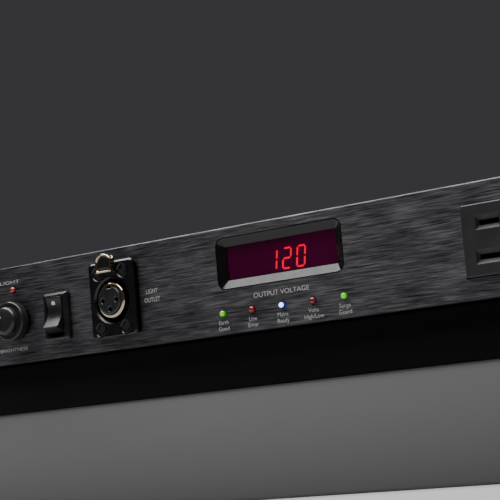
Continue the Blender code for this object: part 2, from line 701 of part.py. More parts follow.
def lamp_socket(flange_finish, ring_finish, insert_finish, screw_finish):
    offset = (0, FLANGE_Z - SOCKET_Z)
    front = [side - 2 * FLANGE_CHAMFER for side in FLANGE_SIZE]
    plate = [
        rounded_loop(*front, 1 * MM, -FLANGE_PROUD, offset, 2),
        rounded_loop(*FLANGE_SIZE, 1.5 * MM, -FLANGE_PROUD + FLANGE_CHAMFER, offset, 2),
        rounded_loop(*FLANGE_SIZE, 1.5 * MM, -GAP, offset, 2),
    ]
    flange = lofted("socket_flange", plate, flange_finish, at(SOCKET_X, 0, SOCKET_Z))
    bm = bmesh.new()
    loft(bm, [circle_loop(BARREL_RADIUS, -1.2 * MM, 32), circle_loop(BARREL_RADIUS, BARREL_END, 32)])
    barrel = cutter("socket_barrel", bm)
    barrel.matrix_world = at(SOCKET_X, 0, SOCKET_Z)
    boolean(flange, barrel, "UNION")

    bm = bmesh.new()
    loft(bm, [circle_loop(SOCKET_BORE, -6 * MM, 32), circle_loop(SOCKET_BORE, BORE_END, 32)])
    screw_cone = ((3.6 * MM, -3.2 * MM), (1.9 * MM, -1.0 * MM), (1.9 * MM, 2 * MM))
    for sx in (-1, 1):
        for sz in (-1, 1):
            centre = (sx * SOCKET_SCREW[0], sz * SOCKET_SCREW[1])
            loft(bm, [circle_loop(r, y, 12, centre) for r, y in screw_cone])
    bores = cutter("socket_bores", bm)
    bores.matrix_world = at(SOCKET_X, 0, SOCKET_Z)
    boolean(flange, bores)

    bm = bmesh.new()
    low, high = LATCH_STEM[0] - GAP - SOCKET_Z, LATCH_STEM[1] + GAP - SOCKET_Z
    half = LATCH_STEM_HALF + GAP
    add_box(bm, (-half, -6 * MM, low), (half, 2 * MM, high))
    slot = cutter("socket_latch_slot", bm)
    slot.matrix_world = at(SOCKET_X, 0, SOCKET_Z)
    boolean(flange, slot)

    ring_inner = RING_RADIUS - RING_WALL
    chamfer = 0.3 * MM
    ring = [
        circle_loop(RING_RADIUS - chamfer, RING_FRONT, 32),
        circle_loop(RING_RADIUS, RING_FRONT + chamfer, 32),
        circle_loop(RING_RADIUS, BORE_END - GAP, 32),
        circle_loop(ring_inner, BORE_END - GAP, 32),
        circle_loop(ring_inner, RING_FRONT, 32),
    ]
    lofted("socket_ring", ring, ring_finish, at(SOCKET_X, 0, SOCKET_Z), closed=True)

    radius = ring_inner - GAP
    loops = [circle_loop(radius, y, 16) for y in (INSERT_FRONT, BORE_END - GAP)]
    insert = lofted("socket_insert", loops, insert_finish, at(SOCKET_X, 0, SOCKET_Z))
    bm = bmesh.new()
    for angle in (0, 180, 270):
        centre = (
            PIN_CIRCLE * math.cos(math.radians(angle)),
            PIN_CIRCLE * math.sin(math.radians(angle)),
        )
        loft(bm, [circle_loop(1.3 * MM, y, 6, centre) for y in (-6 * MM, 8 * MM)])
    pin_holes = cutter("socket_pin_holes", bm)
    pin_holes.matrix_world = at(SOCKET_X, 0, SOCKET_Z)
    boolean(insert, pin_holes)

    screw = [
        (0, -2.4 * MM),
        (2.75 * MM, -2.4 * MM),
        (SCREW_RADIUS, -0.9 * MM),
        (SCREW_RADIUS, 7 * MM),
        (0, 7 * MM),
    ]
    mesh = mesh_of("countersunk_screw", turned(screw, 12))
    corners = [(sx, sz) for sz in (1, -1) for sx in (-1, 1)]
    for number, (sx, sz) in enumerate(corners, 1):
        place = at(SOCKET_X + sx * SOCKET_SCREW[0], 0, SOCKET_Z + sz * SOCKET_SCREW[1])
        add_object(f"socket_screw_{number}", mesh, screw_finish, place)


def socket_latch(finish):
    """The push tab: a round-topped pad in front of the flange on a stem that runs back through it."""
    back = -FLANGE_PROUD - LATCH_TRAVEL - GAP
    front = back - LATCH_THICK
    half = LATCH_WIDTH / 2
    arc = [math.radians(180 * k / 8) for k in range(9)]
    outline = [(half * math.cos(a), LATCH_TOP - LATCH_ARCH * (1 - math.sin(a))) for a in arc]
    outline += [(-half, LATCH_BOTTOM), (half, LATCH_BOTTOM)]
    middle = (LATCH_TOP + LATCH_BOTTOM) / 2
    smaller = [(x * 0.86, middle + (z - middle) * 0.86) for x, z in outline]
    pad = [
        [(x, front, z) for x, z in smaller],
        [(x, front + 0.6 * MM, z) for x, z in outline],
        [(x, back, z) for x, z in outline],
    ]
    latch = lofted("socket_latch", pad, finish, at(SOCKET_X, 0, 0))
    bm = bmesh.new()
    low = (-LATCH_STEM_HALF, back - 1 * MM, LATCH_STEM[0])
    high = (LATCH_STEM_HALF, LATCH_STEM_END, LATCH_STEM[1])
    add_box(bm, low, high)
    stem = cutter("latch_stem", bm)
    stem.matrix_world = at(SOCKET_X, 0, 0)
    boolean(latch, stem, "UNION")


# Mains outlets


def slot_cutter(bm, length, centre):
    """A blade slot whose mouth flares at the face."""
    width, height = length + 2 * SLOT_FLARE[0], SLOT_HEIGHT + 2 * SLOT_FLARE[1]
    loops = [
        square_loop(width, height, -OUTLET_PROUD - 0.1 * MM, centre),
        square_loop(width, height, -OUTLET_PROUD, centre),
        square_loop(length, SLOT_HEIGHT, FLARE_DEPTH, centre),
        square_loop(length, SLOT_HEIGHT, SLOT_DEPTH, centre),
    ]
    loft(bm, loops)


def outlet_mesh(wall):
    """One outlet facing -Y: its face stands through a wall of that thickness, from a wider body behind it."""
    chamfer = 0.4 * MM
    shoulder = wall + GAP
    loops = [
        square_loop(OUTLET_FACE[0] - 2 * chamfer, OUTLET_FACE[1] - 2 * chamfer, -OUTLET_PROUD),
        square_loop(*OUTLET_FACE, -OUTLET_PROUD + chamfer),
        square_loop(*OUTLET_FACE, shoulder),
        square_loop(*OUTLET_BODY, shoulder),
        square_loop(*OUTLET_BODY, OUTLET_DEPTH),
    ]
    outlet = lofted("outlet_solid", loops, None)
    bm = bmesh.new()
    slot_cutter(bm, HOT_SLOT, (BLADE_LINE_X, BLADE_SPACING / 2))
    slot_cutter(bm, NEUTRAL_SLOT, (BLADE_LINE_X, -BLADE_SPACING / 2))
    earth = (BLADE_LINE_X + BLADE_TO_EARTH, 0)
    mouth = EARTH_HOLE_RADIUS + SLOT_FLARE[0]
    steps = [(mouth, -OUTLET_PROUD - 0.1 * MM), (mouth, -OUTLET_PROUD)]
    steps += [(EARTH_HOLE_RADIUS, FLARE_DEPTH), (EARTH_HOLE_RADIUS, SLOT_DEPTH)]
    loft(bm, [circle_loop(r, y, 14, earth) for r, y in steps])
    contacts = cutter("outlet_slots", bm)
    boolean(outlet, contacts)
    mesh = applied_mesh(outlet, "outlet")
    bpy.data.objects.remove(contacts)
    return mesh


def outlets(finish):
    add_object("front_outlet", outlet_mesh(PANEL_THICK), finish, at(FRONT_OUTLET_X, 0, OUTLET_Z))
    mesh = outlet_mesh(SHEET)
    for k in range(REAR_OUTLET_COUNT):
        add_object(f"rear_outlet_{k + 1}", mesh, finish, facing_rear(rear_outlet_x(k), OUTLET_Z))


# Mains inlet and breaker


def inlet(body_finish, pin_finish, screw_finish):
    place = facing_rear(INLET_X, REAR_ROW_Z)
    loops = [
        rounded_loop(*INLET_CAVITY, 2.5 * MM, INLET_FLOOR, steps=2),
        rounded_loop(*INLET_CAVITY, 2.5 * MM, -INLET_PROUD, steps=2),
        rounded_loop(*INLET_FLANGE, 5 * MM, -INLET_PROUD, steps=2),
        rounded_loop(*INLET_FLANGE, 5 * MM, -GAP, steps=2),
        rounded_loop(*INLET_BODY, 1 * MM, -GAP, steps=2),
        rounded_loop(*INLET_BODY, 1 * MM, INLET_DEPTH, steps=2),
    ]
    body = lofted("inlet_body", loops, body_finish, place)
    half = INLET_SCREW_SPACING / 2
    pins = {
        "inlet_pin_line": (-7 * MM, -1.8 * MM),
        "inlet_pin_neutral": (7 * MM, -1.8 * MM),
        "inlet_pin_earth": (0, 2.2 * MM),
    }
    bm = bmesh.new()
    width, height = (s + 2 * GAP for s in INLET_PIN)
    for centre in pins.values():
        ends = (INLET_FLOOR - 2 * MM, INLET_DEPTH + 2 * MM)
        loft(bm, [square_loop(width, height, y, centre) for y in ends])
    for side in (-1, 1):
        loft(bm, [circle_loop(SCREW_HOLE_RADIUS, y, 8, (side * half, 0)) for y in (-6 * MM, 3 * MM)])
    holes = cutter("inlet_holes", bm)
    holes.matrix_world = place
    boolean(body, holes)
    for name, centre in pins.items():
        loops = [square_loop(*INLET_PIN, y, centre) for y in (1 * MM, INLET_DEPTH + 8 * MM)]
        lofted(name, loops, pin_finish, place)
    mesh = mesh_of("inlet_screw", pan_screw(7 * MM))
    for number, side in enumerate((-1, 1), 1):
        offset = Matrix.Translation((side * half, -INLET_PROUD - GAP, 0))
        add_object(f"inlet_screw_{number}", mesh, screw_finish, place @ offset)


def breaker(body_finish, metal_finish, button_finish):
    place = facing_rear(BREAKER_X, REAR_ROW_Z)
    bore = BREAKER_BUTTON_RADIUS + GAP
    body = [
        (0, 10 * MM),
        (bore, 10 * MM),
        (bore, -4 * MM),
        (BREAKER_BUSH, -4 * MM),
        (BREAKER_BUSH, SHEET + GAP),
        (8 * MM, SHEET + GAP),
        (8 * MM, 24 * MM),
        (0, 24 * MM),
    ]
    add_object("breaker_body", mesh_of("breaker_body", turned(body, 16)), body_finish, place)
    hex_nut("breaker_nut", 8 * MM, BREAKER_BUSH + GAP, -3 * MM, -GAP, metal_finish, place)
    r = BREAKER_BUTTON_RADIUS
    button = [
        (0, -BREAKER_REACH),
        (r - 0.6 * MM, -BREAKER_REACH),
        (r, -BREAKER_REACH + 0.6 * MM),
        (r, 10 * MM - BREAKER_TRAVEL - GAP),
        (0, 10 * MM - BREAKER_TRAVEL - GAP),
    ]
    add_object("breaker_button", mesh_of("breaker_button", turned(button, 16)), button_finish, place)


# Inside the case


def main_board(finish):
    x, depth = MAIN_BOARD_AT
    y = behind_face(depth)
    boxed(
        "main_board",
        (x - MAIN_BOARD[0] / 2, y - MAIN_BOARD[1] / 2, MAIN_BOARD_Z),
        (x + MAIN_BOARD[0] / 2, y + MAIN_BOARD[1] / 2, MAIN_BOARD_Z + MAIN_BOARD[2]),
        finish,
    )


def choke(finish):
    inner, outer, height, edge = 8 * MM, 18 * MM, 20 * MM, 2.5 * MM
    section = [
        (outer - edge, 0),
        (outer, edge),
        (outer, height - edge),
        (outer - edge, height),
        (inner + edge, height),
        (inner, height - edge),
        (inner, edge),
        (inner + edge, 0),
    ]
    loops = [[(x, z, y) for x, y, z in circle_loop(radius, level, 20)] for radius, level in section]
    place = Matrix.Translation((100 * MM, behind_face(95 * MM), BOARD_TOP))
    lofted("filter_choke", loops, finish, place, closed=True)


def filter_capacitors(finish):
    width, deep, height = 32 * MM, 16 * MM, 24 * MM
    for number, depth in enumerate((60 * MM, 84 * MM), 1):
        y = behind_face(depth)
        low = (40 * MM, y, BOARD_TOP)
        high = (40 * MM + width, y + deep, BOARD_TOP + height)
        boxed(f"filter_capacitor_{number}", low, high, finish, 1 * MM)


def varistors(finish):
    radius, thick = 8 * MM, 5 * MM
    profile = [
        (0, 0),
        (radius - 1.2 * MM, 0),
        (radius, 1.2 * MM),
        (radius, thick - 1.2 * MM),
        (radius - 1.2 * MM, thick),
        (0, thick),
    ]
    mesh = mesh_of("varistor", turned(profile, 16))
    for k in range(3):
        place = at(0, 60 * MM + k * 14 * MM, BOARD_TOP + radius)
        add_object(f"surge_varistor_{k + 1}", mesh, finish, place)


def lamp_transformer(finish):
    """A laminated core, with the winding standing out at both ends."""
    bm = bmesh.new()
    y = behind_face(70 * MM)
    add_box(bm, (-118 * MM, y, SHEET + GAP), (-76 * MM, y + 22 * MM, 36 * MM))
    core = add_object("lamp_transformer", mesh_of("lamp_transformer", bm), finish)
    bm = bmesh.new()
    low, high = (-112 * MM, y - 8 * MM, 7 * MM), (-82 * MM, y + 30 * MM, 30 * MM)
    add_box(bm, low, high)
    bmesh.ops.bevel(bm, geom=bm.edges[:], offset=2 * MM, segments=1, affect="EDGES")
    winding = cutter("transformer_winding", bm)
    boolean(core, winding, "UNION")


def bus_bars(finish):
    back = behind_face(REAR_FACE) - OUTLET_DEPTH - GAP
    first, last = rear_outlet_x(0), rear_outlet_x(REAR_OUTLET_COUNT - 1)
    for name, z in (("bus_neutral", 11 * MM), ("bus_earth", 18.5 * MM), ("bus_line", 26 * MM)):
        low = (first - 8 * MM, back - 1.5 * MM, z)
        boxed(name, low, (last + 8 * MM, back, z + 5 * MM), finish)


def main():
    clear_scene()
    brushed_black = material("brushed_black", (0.035, 0.036, 0.04), 0.38, 0.9)
    black_steel = material("black_steel", (0.02, 0.02, 0.021), 0.5, 0.1)
    black_plastic = material("black_plastic", (0.018, 0.018, 0.019), 0.35)
    outlet_plastic = material("outlet_plastic", (0.03, 0.03, 0.031), 0.5)
    knob_plastic = material("knob_plastic", (0.02, 0.02, 0.021), 0.3)
    red_lens = material("red_lens", (0.12, 0.0, 0.03), 0.08)
    led_plastic = material("led_plastic", (0.4, 0.05, 0.04), 0.15)
    black_metal = material("black_metal", (0.012, 0.012, 0.013), 0.3, 0.4)
    chrome = material("chrome", (0.85, 0.85, 0.83), 0.12, 1.0)
    screw_black = material("screw_black", (0.05, 0.05, 0.052), 0.35, 0.8)
    circuit_board = material("circuit_board", (0.02, 0.12, 0.05), 0.5)
    copper = material("copper", (0.75, 0.4, 0.22), 0.3, 1.0)
    component_blue = material("component_blue", (0.03, 0.1, 0.35), 0.4)
    component_grey = material("component_grey", (0.2, 0.2, 0.21), 0.5)
    core_steel = material("core_steel", (0.25, 0.24, 0.22), 0.5, 0.6)
    button_red = material("button_red", (0.5, 0.02, 0.02), 0.4)

    front_panel(brushed_black)
    chassis_tray(black_steel)
    top_cover(black_steel)
    cover_screws(screw_black)
    display(black_plastic, red_lens, component_grey, circuit_board)
    indicator_lamps(led_plastic)
    rocker_switch(black_plastic, knob_plastic)
    dimmer(knob_plastic, chrome, component_grey)
    lamp_socket(black_metal, chrome, black_plastic, screw_black)
    socket_latch(chrome)
    outlets(outlet_plastic)
    inlet(black_plastic, chrome, screw_black)
    breaker(black_plastic, chrome, button_red)
    main_board(circuit_board)
    choke(copper)
    filter_capacitors(component_grey)
    varistors(component_blue)
    lamp_transformer(core_steel)
    bus_bars(copper)


main()
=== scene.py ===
"""The looks of the rack power strip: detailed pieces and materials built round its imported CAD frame.

X runs right along the front panel, Y runs into the rack and Z is up. Lengths are in metres.
A piece is modelled round its own centre, with Y as the depth behind the face that it's mounted on.
"""

import math

import bmesh
import bpy
from mathutils import Matrix, Vector


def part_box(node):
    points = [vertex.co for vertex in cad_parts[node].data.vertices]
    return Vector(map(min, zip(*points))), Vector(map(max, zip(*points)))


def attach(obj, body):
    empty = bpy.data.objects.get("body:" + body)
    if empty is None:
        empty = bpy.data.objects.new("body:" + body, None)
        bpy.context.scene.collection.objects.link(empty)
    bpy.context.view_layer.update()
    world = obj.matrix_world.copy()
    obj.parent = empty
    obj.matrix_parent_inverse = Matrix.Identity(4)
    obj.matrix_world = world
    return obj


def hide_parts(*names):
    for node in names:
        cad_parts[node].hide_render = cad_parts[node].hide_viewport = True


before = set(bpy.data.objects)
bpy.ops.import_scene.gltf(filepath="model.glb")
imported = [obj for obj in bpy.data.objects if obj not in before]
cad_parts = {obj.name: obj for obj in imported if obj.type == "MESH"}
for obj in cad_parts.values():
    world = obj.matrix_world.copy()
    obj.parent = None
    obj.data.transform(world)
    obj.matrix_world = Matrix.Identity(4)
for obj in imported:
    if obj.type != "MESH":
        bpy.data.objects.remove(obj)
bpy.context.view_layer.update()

MM = 0.001
PANEL_LOW, PANEL_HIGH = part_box("front_panel")
FACE = PANEL_LOW.y
REAR_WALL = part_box("chassis_tray")[1].y
SHEET = 1.2 * MM  # thickness of the tray's and the cover's steel


# Places


def middle(node):
    low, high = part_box(node)
    return (low + high) / 2


def on_panel(node, depth=0.0):
    """The point of the panel's face in front of a node, with X right and Y into the panel."""
    centre = middle(node)
    return Matrix.Translation((centre.x, FACE + depth, centre.z))


def on_rear(node):
    """The point of the rear wall behind a node, turned so that -Y faces out of it."""
    centre = middle(node)
    return Matrix.Translation((centre.x, REAR_WALL, centre.z)) @ Matrix.Rotation(math.pi, 4, "Z")


# Mesh building


def circle(radius, sides=48, centre=(0, 0)):
    angles = [2 * math.pi * k / sides for k in range(sides)]
    return [(centre[0] + radius * math.cos(a), centre[1] + radius * math.sin(a)) for a in angles]


def rectangle(width, height, centre=(0, 0)):
    corners = ((1, 1), (-1, 1), (-1, -1), (1, -1))
    return [(centre[0] + sx * width / 2, centre[1] + sz * height / 2) for sx, sz in corners]


def softened(points, radius, steps=3, closed=True):
    """A polyline with its corners rounded off, each starting up to a radius from the corner."""
    rounded = []
    count = len(points)
    for k, corner in enumerate(points):
        if not closed and k in (0, count - 1):
            rounded.append(corner)
            continue
        here = Vector(corner)
        before = Vector(points[k - 1]) - here
        after = Vector(points[(k + 1) % count]) - here
        start = here + before.normalized() * min(radius, before.length * 0.49)
        end = here + after.normalized() * min(radius, after.length * 0.49)
        for step in range(steps + 1):
            t = step / steps
            rounded.append(tuple(start * (1 - t) ** 2 + here * 2 * t * (1 - t) + end * t**2))
    return rounded


def loft(bm, loops, cap_start=True, cap_end=True, closed=False):
    """Skins loops of 3D points that have equal lengths."""
    rings = [[bm.verts.new(p) for p in loop] for loop in loops]
    pairs = list(zip(rings, rings[1:]))
    if closed:
        pairs.append((rings[-1], rings[0]))
    for a, b in pairs:
        for k in range(len(a)):
            j = (k + 1) % len(a)
            bm.faces.new((a[k], a[j], b[j], b[k]))
    if cap_start and not closed:
        bm.faces.new(rings[0])
    if cap_end and not closed:
        bm.faces.new(rings[-1])


def level(outline, depth):
    """A flat outline of X and Z, set at a depth."""
    return [(x, depth, z) for x, z in outline]


def soft_loop(width, height, radius, depth, centre=(0, 0), steps=3):
    """A rectangle with rounded corners, set at a depth."""
    return level(softened(rectangle(width, height, centre), radius, steps), depth)


def turn(bm, profile, sides=64):
    """Adds a surface of revolution about Y. The profile is a line of (radius, depth) points."""
    rings = []
    for radius, depth in profile:
        if radius < 1e-7:
            rings.append([bm.verts.new((0, depth, 0))])
        else:
            rings.append([bm.verts.new(p) for p in level(circle(radius, sides), depth)])
    for a, b in zip(rings, rings[1:]):
        for k in range(sides):
            j = (k + 1) % sides
            corners = [a[k % len(a)], a[j % len(a)], b[j % len(b)], b[k % len(b)]]
            bm.faces.new(list(dict.fromkeys(corners)))


def plate(bm, outlines, front, back, bevel, steps=2):
    """Adds a flat plate with rounded edges. The first outline is its rim and the others are holes."""
    curve = bpy.data.curves.new("plate", "CURVE")
    curve.dimensions = "2D"
    curve.fill_mode = "BOTH"
    curve.extrude = (back - front) / 2 - bevel
    curve.bevel_depth = bevel
    curve.bevel_resolution = steps
    curve.offset = -bevel
    for outline in outlines:
        spline = curve.splines.new("POLY")
        spline.points.add(len(outline) - 1)
        for point, (x, z) in zip(spline.points, outline):
            point.co = (x, z, 0, 1)
        spline.use_cyclic_u = True
    stand = Matrix.Translation((0, (front + back) / 2, 0)) @ Matrix.Rotation(math.pi / 2, 4, "X")
    add_curve(bm, curve, stand)


def add_curve(bm, curve, matrix):
    """Adds the mesh of a curve or a text, then removes the curve."""
    obj = bpy.data.objects.new("curve", curve)
    bpy.context.scene.collection.objects.link(obj)
    graph = bpy.context.evaluated_depsgraph_get()
    mesh = bpy.data.meshes.new_from_object(obj.evaluated_get(graph))
    mesh.transform(matrix)
    bm.from_mesh(mesh)
    bpy.data.objects.remove(obj)
    bpy.data.curves.remove(curve)
    bpy.data.meshes.remove(mesh)


def box(bm, low, high, bevel=0.0, steps=2):
    low, high = Vector(low), Vector(high)
    place = Matrix.Translation((low + high) / 2) @ Matrix.Diagonal((*(high - low), 1))
    made = bmesh.ops.create_cube(bm, size=1, matrix=place)["verts"]
    if bevel:
        edges = list({e for v in made for e in v.link_edges})
        bmesh.ops.bevel(bm, geom=edges, offset=bevel, segments=steps, profile=0.5, affect="EDGES")


def make_mesh(name, bm, finish, smooth_below=35):
    bmesh.ops.remove_doubles(bm, verts=bm.verts, dist=1e-7)
    bmesh.ops.recalc_face_normals(bm, faces=bm.faces)
    mesh = bpy.data.meshes.new(name)
    bm.to_mesh(mesh)
    bm.free()
    mesh.materials.append(finish)
    mesh.shade_smooth()
    mesh.set_sharp_from_angle(angle=math.radians(smooth_below))
    return mesh


def add_piece(name, mesh, place=None, body="unit", replaces=()):
    """Puts a mesh in place, riding on a body and standing for the CAD nodes that it replaces."""
    piece = bpy.data.objects.new(name, mesh)
    bpy.context.scene.collection.objects.link(piece)
    if place is not None:
        piece.matrix_world = place
    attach(piece, body)
    if replaces:
        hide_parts(*replaces)
    flat = piece.modifiers.new("flat_faces_stay_flat", "WEIGHTED_NORMAL")
    flat.keep_sharp = True
    return piece


# Finishes


class Finish:
    """A procedural material on one Principled shader, with its textures in the object's own metres."""

    def __init__(self, name, colour, roughness, **sockets):
        self.material = bpy.data.materials.new(name)
        self.material.use_nodes = True
        self.nodes = self.material.node_tree.nodes
        self.links = self.material.node_tree.links
        self.shader = self.nodes["Principled BSDF"]
        self.set("Base Color", (*colour, 1))
        self.set("Roughness", roughness)
        for socket, value in sockets.items():
            self.set(socket.replace("_", " "), value)
        self.position = self.nodes.new("ShaderNodeTexCoord").outputs["Object"]
        self.last_bump = None

    def set(self, socket, value):
        self.shader.inputs[socket].default_value = value

    def noise(self, size, detail=3.0, stretch=(1, 1, 1), contrast=0.5):
        """A cloud pattern whose features have that size in metres, longer along a stretched axis."""
        mapping = self.nodes.new("ShaderNodeMapping")
        mapping.inputs["Scale"].default_value = [1 / (size * s) for s in stretch]
        self.links.new(self.position, mapping.inputs["Vector"])
        texture = self.nodes.new("ShaderNodeTexNoise")
        texture.inputs["Scale"].default_value = 1
        texture.inputs["Detail"].default_value = detail
        texture.inputs["Roughness"].default_value = contrast
        self.links.new(mapping.outputs["Vector"], texture.inputs["Vector"])
        return texture.outputs["Fac"]

    def spread(self, pattern, low, high, start=0.3, end=0.7):
        """The pattern's middle range, stretched to run from low to high."""
        ranged = self.nodes.new("ShaderNodeMapRange")
        for socket, value in zip(("From Min", "From Max", "To Min", "To Max"), (start, end, low, high)):
            ranged.inputs[socket].default_value = value
        self.links.new(pattern, ranged.inputs["Value"])
        return ranged.outputs["Result"]

    def sum(self, first, second, share=0.5):
        """A mix of two patterns."""
        mix = self.nodes.new("ShaderNodeMix")
        mix.inputs["Factor"].default_value = share
        self.links.new(first, mix.inputs["A"])
        self.links.new(second, mix.inputs["B"])
        return mix.outputs["Result"]

    def colours(self, pattern, stops):
        """Runs the base colour through (position, colour) stops along a pattern."""
        ramp = self.nodes.new("ShaderNodeValToRGB")
        elements = ramp.color_ramp.elements
        while len(elements) < len(stops):
            elements.new(0.5)
        for element, (position, colour) in zip(elements, stops):
            element.position = position
            element.color = (*colour, 1)
        self.links.new(pattern, ramp.inputs["Fac"])
        self.links.new(ramp.outputs["Color"], self.shader.inputs["Base Color"])
        return ramp.outputs["Color"]

    def roughen(self, pattern, low, high):
        self.links.new(self.spread(pattern, low, high), self.shader.inputs["Roughness"])

    def bump(self, pattern, depth):
        """Raises the surface by up to a depth in metres. Calls add up."""
        node = self.nodes.new("ShaderNodeBump")
        node.inputs["Distance"].default_value = depth
        self.links.new(pattern, node.inputs["Height"])
        if self.last_bump:
            self.links.new(self.last_bump, node.inputs["Normal"])
        self.last_bump = node.outputs["Normal"]
        self.links.new(self.last_bump, self.shader.inputs["Normal"])


def shade(colour, factor):
    return tuple(c * factor for c in colour)


def moulded(name, colour, roughness, grain=0.25 * MM, depth=0.01 * MM, **sockets):
    """Plastic with a fine moulded grain, and slow changes of tone and gloss."""
    made = Finish(name, colour, roughness, **sockets)
    clouds = made.noise(14 * MM, 5)
    made.colours(clouds, [(0.3, shade(colour, 0.82)), (0.7, shade(colour, 1.2))])
    made.roughen(made.noise(5 * MM, 6), roughness * 0.85, roughness * 1.2)
    made.bump(made.noise(grain, 2), depth)
    return made.material


def powder_coat(name, colour, roughness):
    """Sprayed powder: a fine orange peel with speckled gloss."""
    made = Finish(name, colour, roughness)
    speckle = made.sum(made.noise(0.9 * MM, 3), made.noise(60 * MM, 4), 0.35)
    made.colours(speckle, [(0.35, shade(colour, 0.75)), (0.65, shade(colour, 1.35))])
    made.roughen(made.noise(3 * MM, 5), roughness * 0.85, roughness * 1.15)
    made.bump(made.noise(0.7 * MM, 3), 0.05 * MM)
    return made.material


def plated(name, colour, roughness, wear=0.5):
    """Polished or plated metal with faint turning marks and smudges."""
    made = Finish(name, colour, roughness, Metallic=1.0)
    smudges = made.noise(6 * MM, 6, contrast=0.6)
    made.colours(smudges, [(0.25, shade(colour, 1 - 0.25 * wear)), (0.75, colour)])
    made.roughen(made.noise(2.5 * MM, 6), roughness * 0.7, roughness * (1 + wear))
    made.bump(made.noise(0.5 * MM, 2, (6, 1, 6)), 0.004 * MM)
    return made.material


def brushed_panel(name):
    """Black anodised aluminium, brushed along X: short streaks that differ in tone, gloss and height."""
    dark, light = (0.02, 0.0195, 0.022), (0.185, 0.183, 0.198)
    made = Finish(name, dark, 0.4, Metallic=1.0, Anisotropic=0.8)
    broad = made.noise(0.8 * MM, 4, (17, 1, 1), 0.65)
    fine = made.noise(0.3 * MM, 2, (40, 1, 1), 0.6)
    patches = made.noise(9 * MM, 3, (3, 1, 1), 0.55)
    streaks = made.sum(made.sum(broad, fine, 0.4), patches, 0.22)
    made.colours(streaks, [(0.38, dark), (0.5, shade(light, 0.45)), (0.62, light)])
    made.roughen(broad, 0.34, 0.5)
    made.bump(fine, 0.015 * MM)
    made.bump(broad, 0.035 * MM)
    tangent = made.nodes.new("ShaderNodeTangent")
    tangent.direction_type = "RADIAL"
    tangent.axis = "X"
    made.links.new(tangent.outputs["Tangent"], made.shader.inputs["Tangent"])
    return made.material


def plain_paint(name, colour, roughness, **sockets):
    """A matt paint for what the unit stands on, with barely uneven tone."""
    made = Finish(name, colour, roughness, **sockets)
    made.colours(made.noise(400 * MM, 3), [(0.3, shade(colour, 0.97)), (0.7, shade(colour, 1.03))])
    return made.material


def circuit_board(name):
    """Green solder mask with paler tracks running both ways under it."""
    colour = (0.012, 0.09, 0.035)
    made = Finish(name, colour, 0.35, Coat_Weight=0.4)
    tracks = made.sum(made.noise(1.6 * MM, 0, (14, 1, 1)), made.noise(1.6 * MM, 0, (1, 14, 1)))
    made.colours(tracks, [(0.46, colour), (0.5, shade(colour, 2.4)), (0.54, colour)])
    made.roughen(made.noise(4 * MM, 4), 0.28, 0.45)
    made.bump(tracks, 0.03 * MM)
    return made.material


def lit_lens(name, rim, core, strength, radius=1.5 * MM):
    """A lit lamp: its glow runs from a pale core on its axis to a deeper rim."""
    made = Finish(name, shade(rim, 0.5), 0.1, Coat_Weight=1.0, Coat_Roughness=0.04)
    flatten = made.nodes.new("ShaderNodeMapping")
    flatten.inputs["Scale"].default_value = (1 / radius, 0, 1 / radius)
    flatten.inputs["Location"].default_value = (-0.2, 0, 0)
    made.links.new(made.position, flatten.inputs["Vector"])
    gradient = made.nodes.new("ShaderNodeTexGradient")
    gradient.gradient_type = "SPHERICAL"
    made.links.new(flatten.outputs["Vector"], gradient.inputs["Vector"])
    cloudy = made.sum(gradient.outputs["Fac"], made.noise(0.8 * MM, 2), 0.1)
    stops = [(0.0, shade(rim, 0.5)), (0.3, rim), (0.5, core)]
    glow = made.colours(cloudy, stops)
    made.links.new(glow, made.shader.inputs["Emission Color"])
    made.set("Emission Strength", strength)
    return made.material


def dark_lens(name, colour):
    """An unlit coloured lamp: glossy, its tone varying in small clouds."""
    made = Finish(name, colour, 0.12, Coat_Weight=1.0, Coat_Roughness=0.05)
    clouds = made.noise(1.4 * MM, 3)
    made.colours(clouds, [(0.3, shade(colour, 0.55)), (0.7, shade(colour, 1.3))])
    made.roughen(made.noise(0.7 * MM, 3), 0.08, 0.2)
    made.bump(clouds, 0.01 * MM)
    return made.material


def red_window(name):
    """The display's dark red filter, which lets the segments behind it shine through."""
    colour = (0.27, 0.0, 0.12)
    made = Finish(name, colour, 0.05, Transmission_Weight=0.8, IOR=1.45)
    haze = made.noise(30 * MM, 3)
    made.colours(haze, [(0.3, shade(colour, 0.9)), (0.7, shade(colour, 1.1))])
    made.roughen(made.noise(2 * MM, 5), 0.03, 0.07)
    return made.material


def segment_glow(name):
    """Lit display segments, their red varying a little in small clouds."""
    made = Finish(name, (0.3, 0.01, 0.01), 0.4)
    hot = made.noise(0.9 * MM, 2)
    glow = made.colours(hot, [(0.3, (1.0, 0.0, 0.01)), (0.7, (1.0, 0.03, 0.03))])
    made.links.new(glow, made.shader.inputs["Emission Color"])
    made.set("Emission Strength", 5.5)
    return made.material


def ink(name, colour):
    """Screen-printed lettering: thin, matt and slightly uneven."""
    made = Finish(name, colour, 0.6)
    made.colours(made.noise(0.5 * MM, 4), [(0.3, shade(colour, 0.72)), (0.6, colour)])
    made.roughen(made.noise(0.4 * MM, 3), 0.5, 0.75)
    made.bump(made.noise(0.15 * MM, 2), 0.004 * MM)
    return made.material


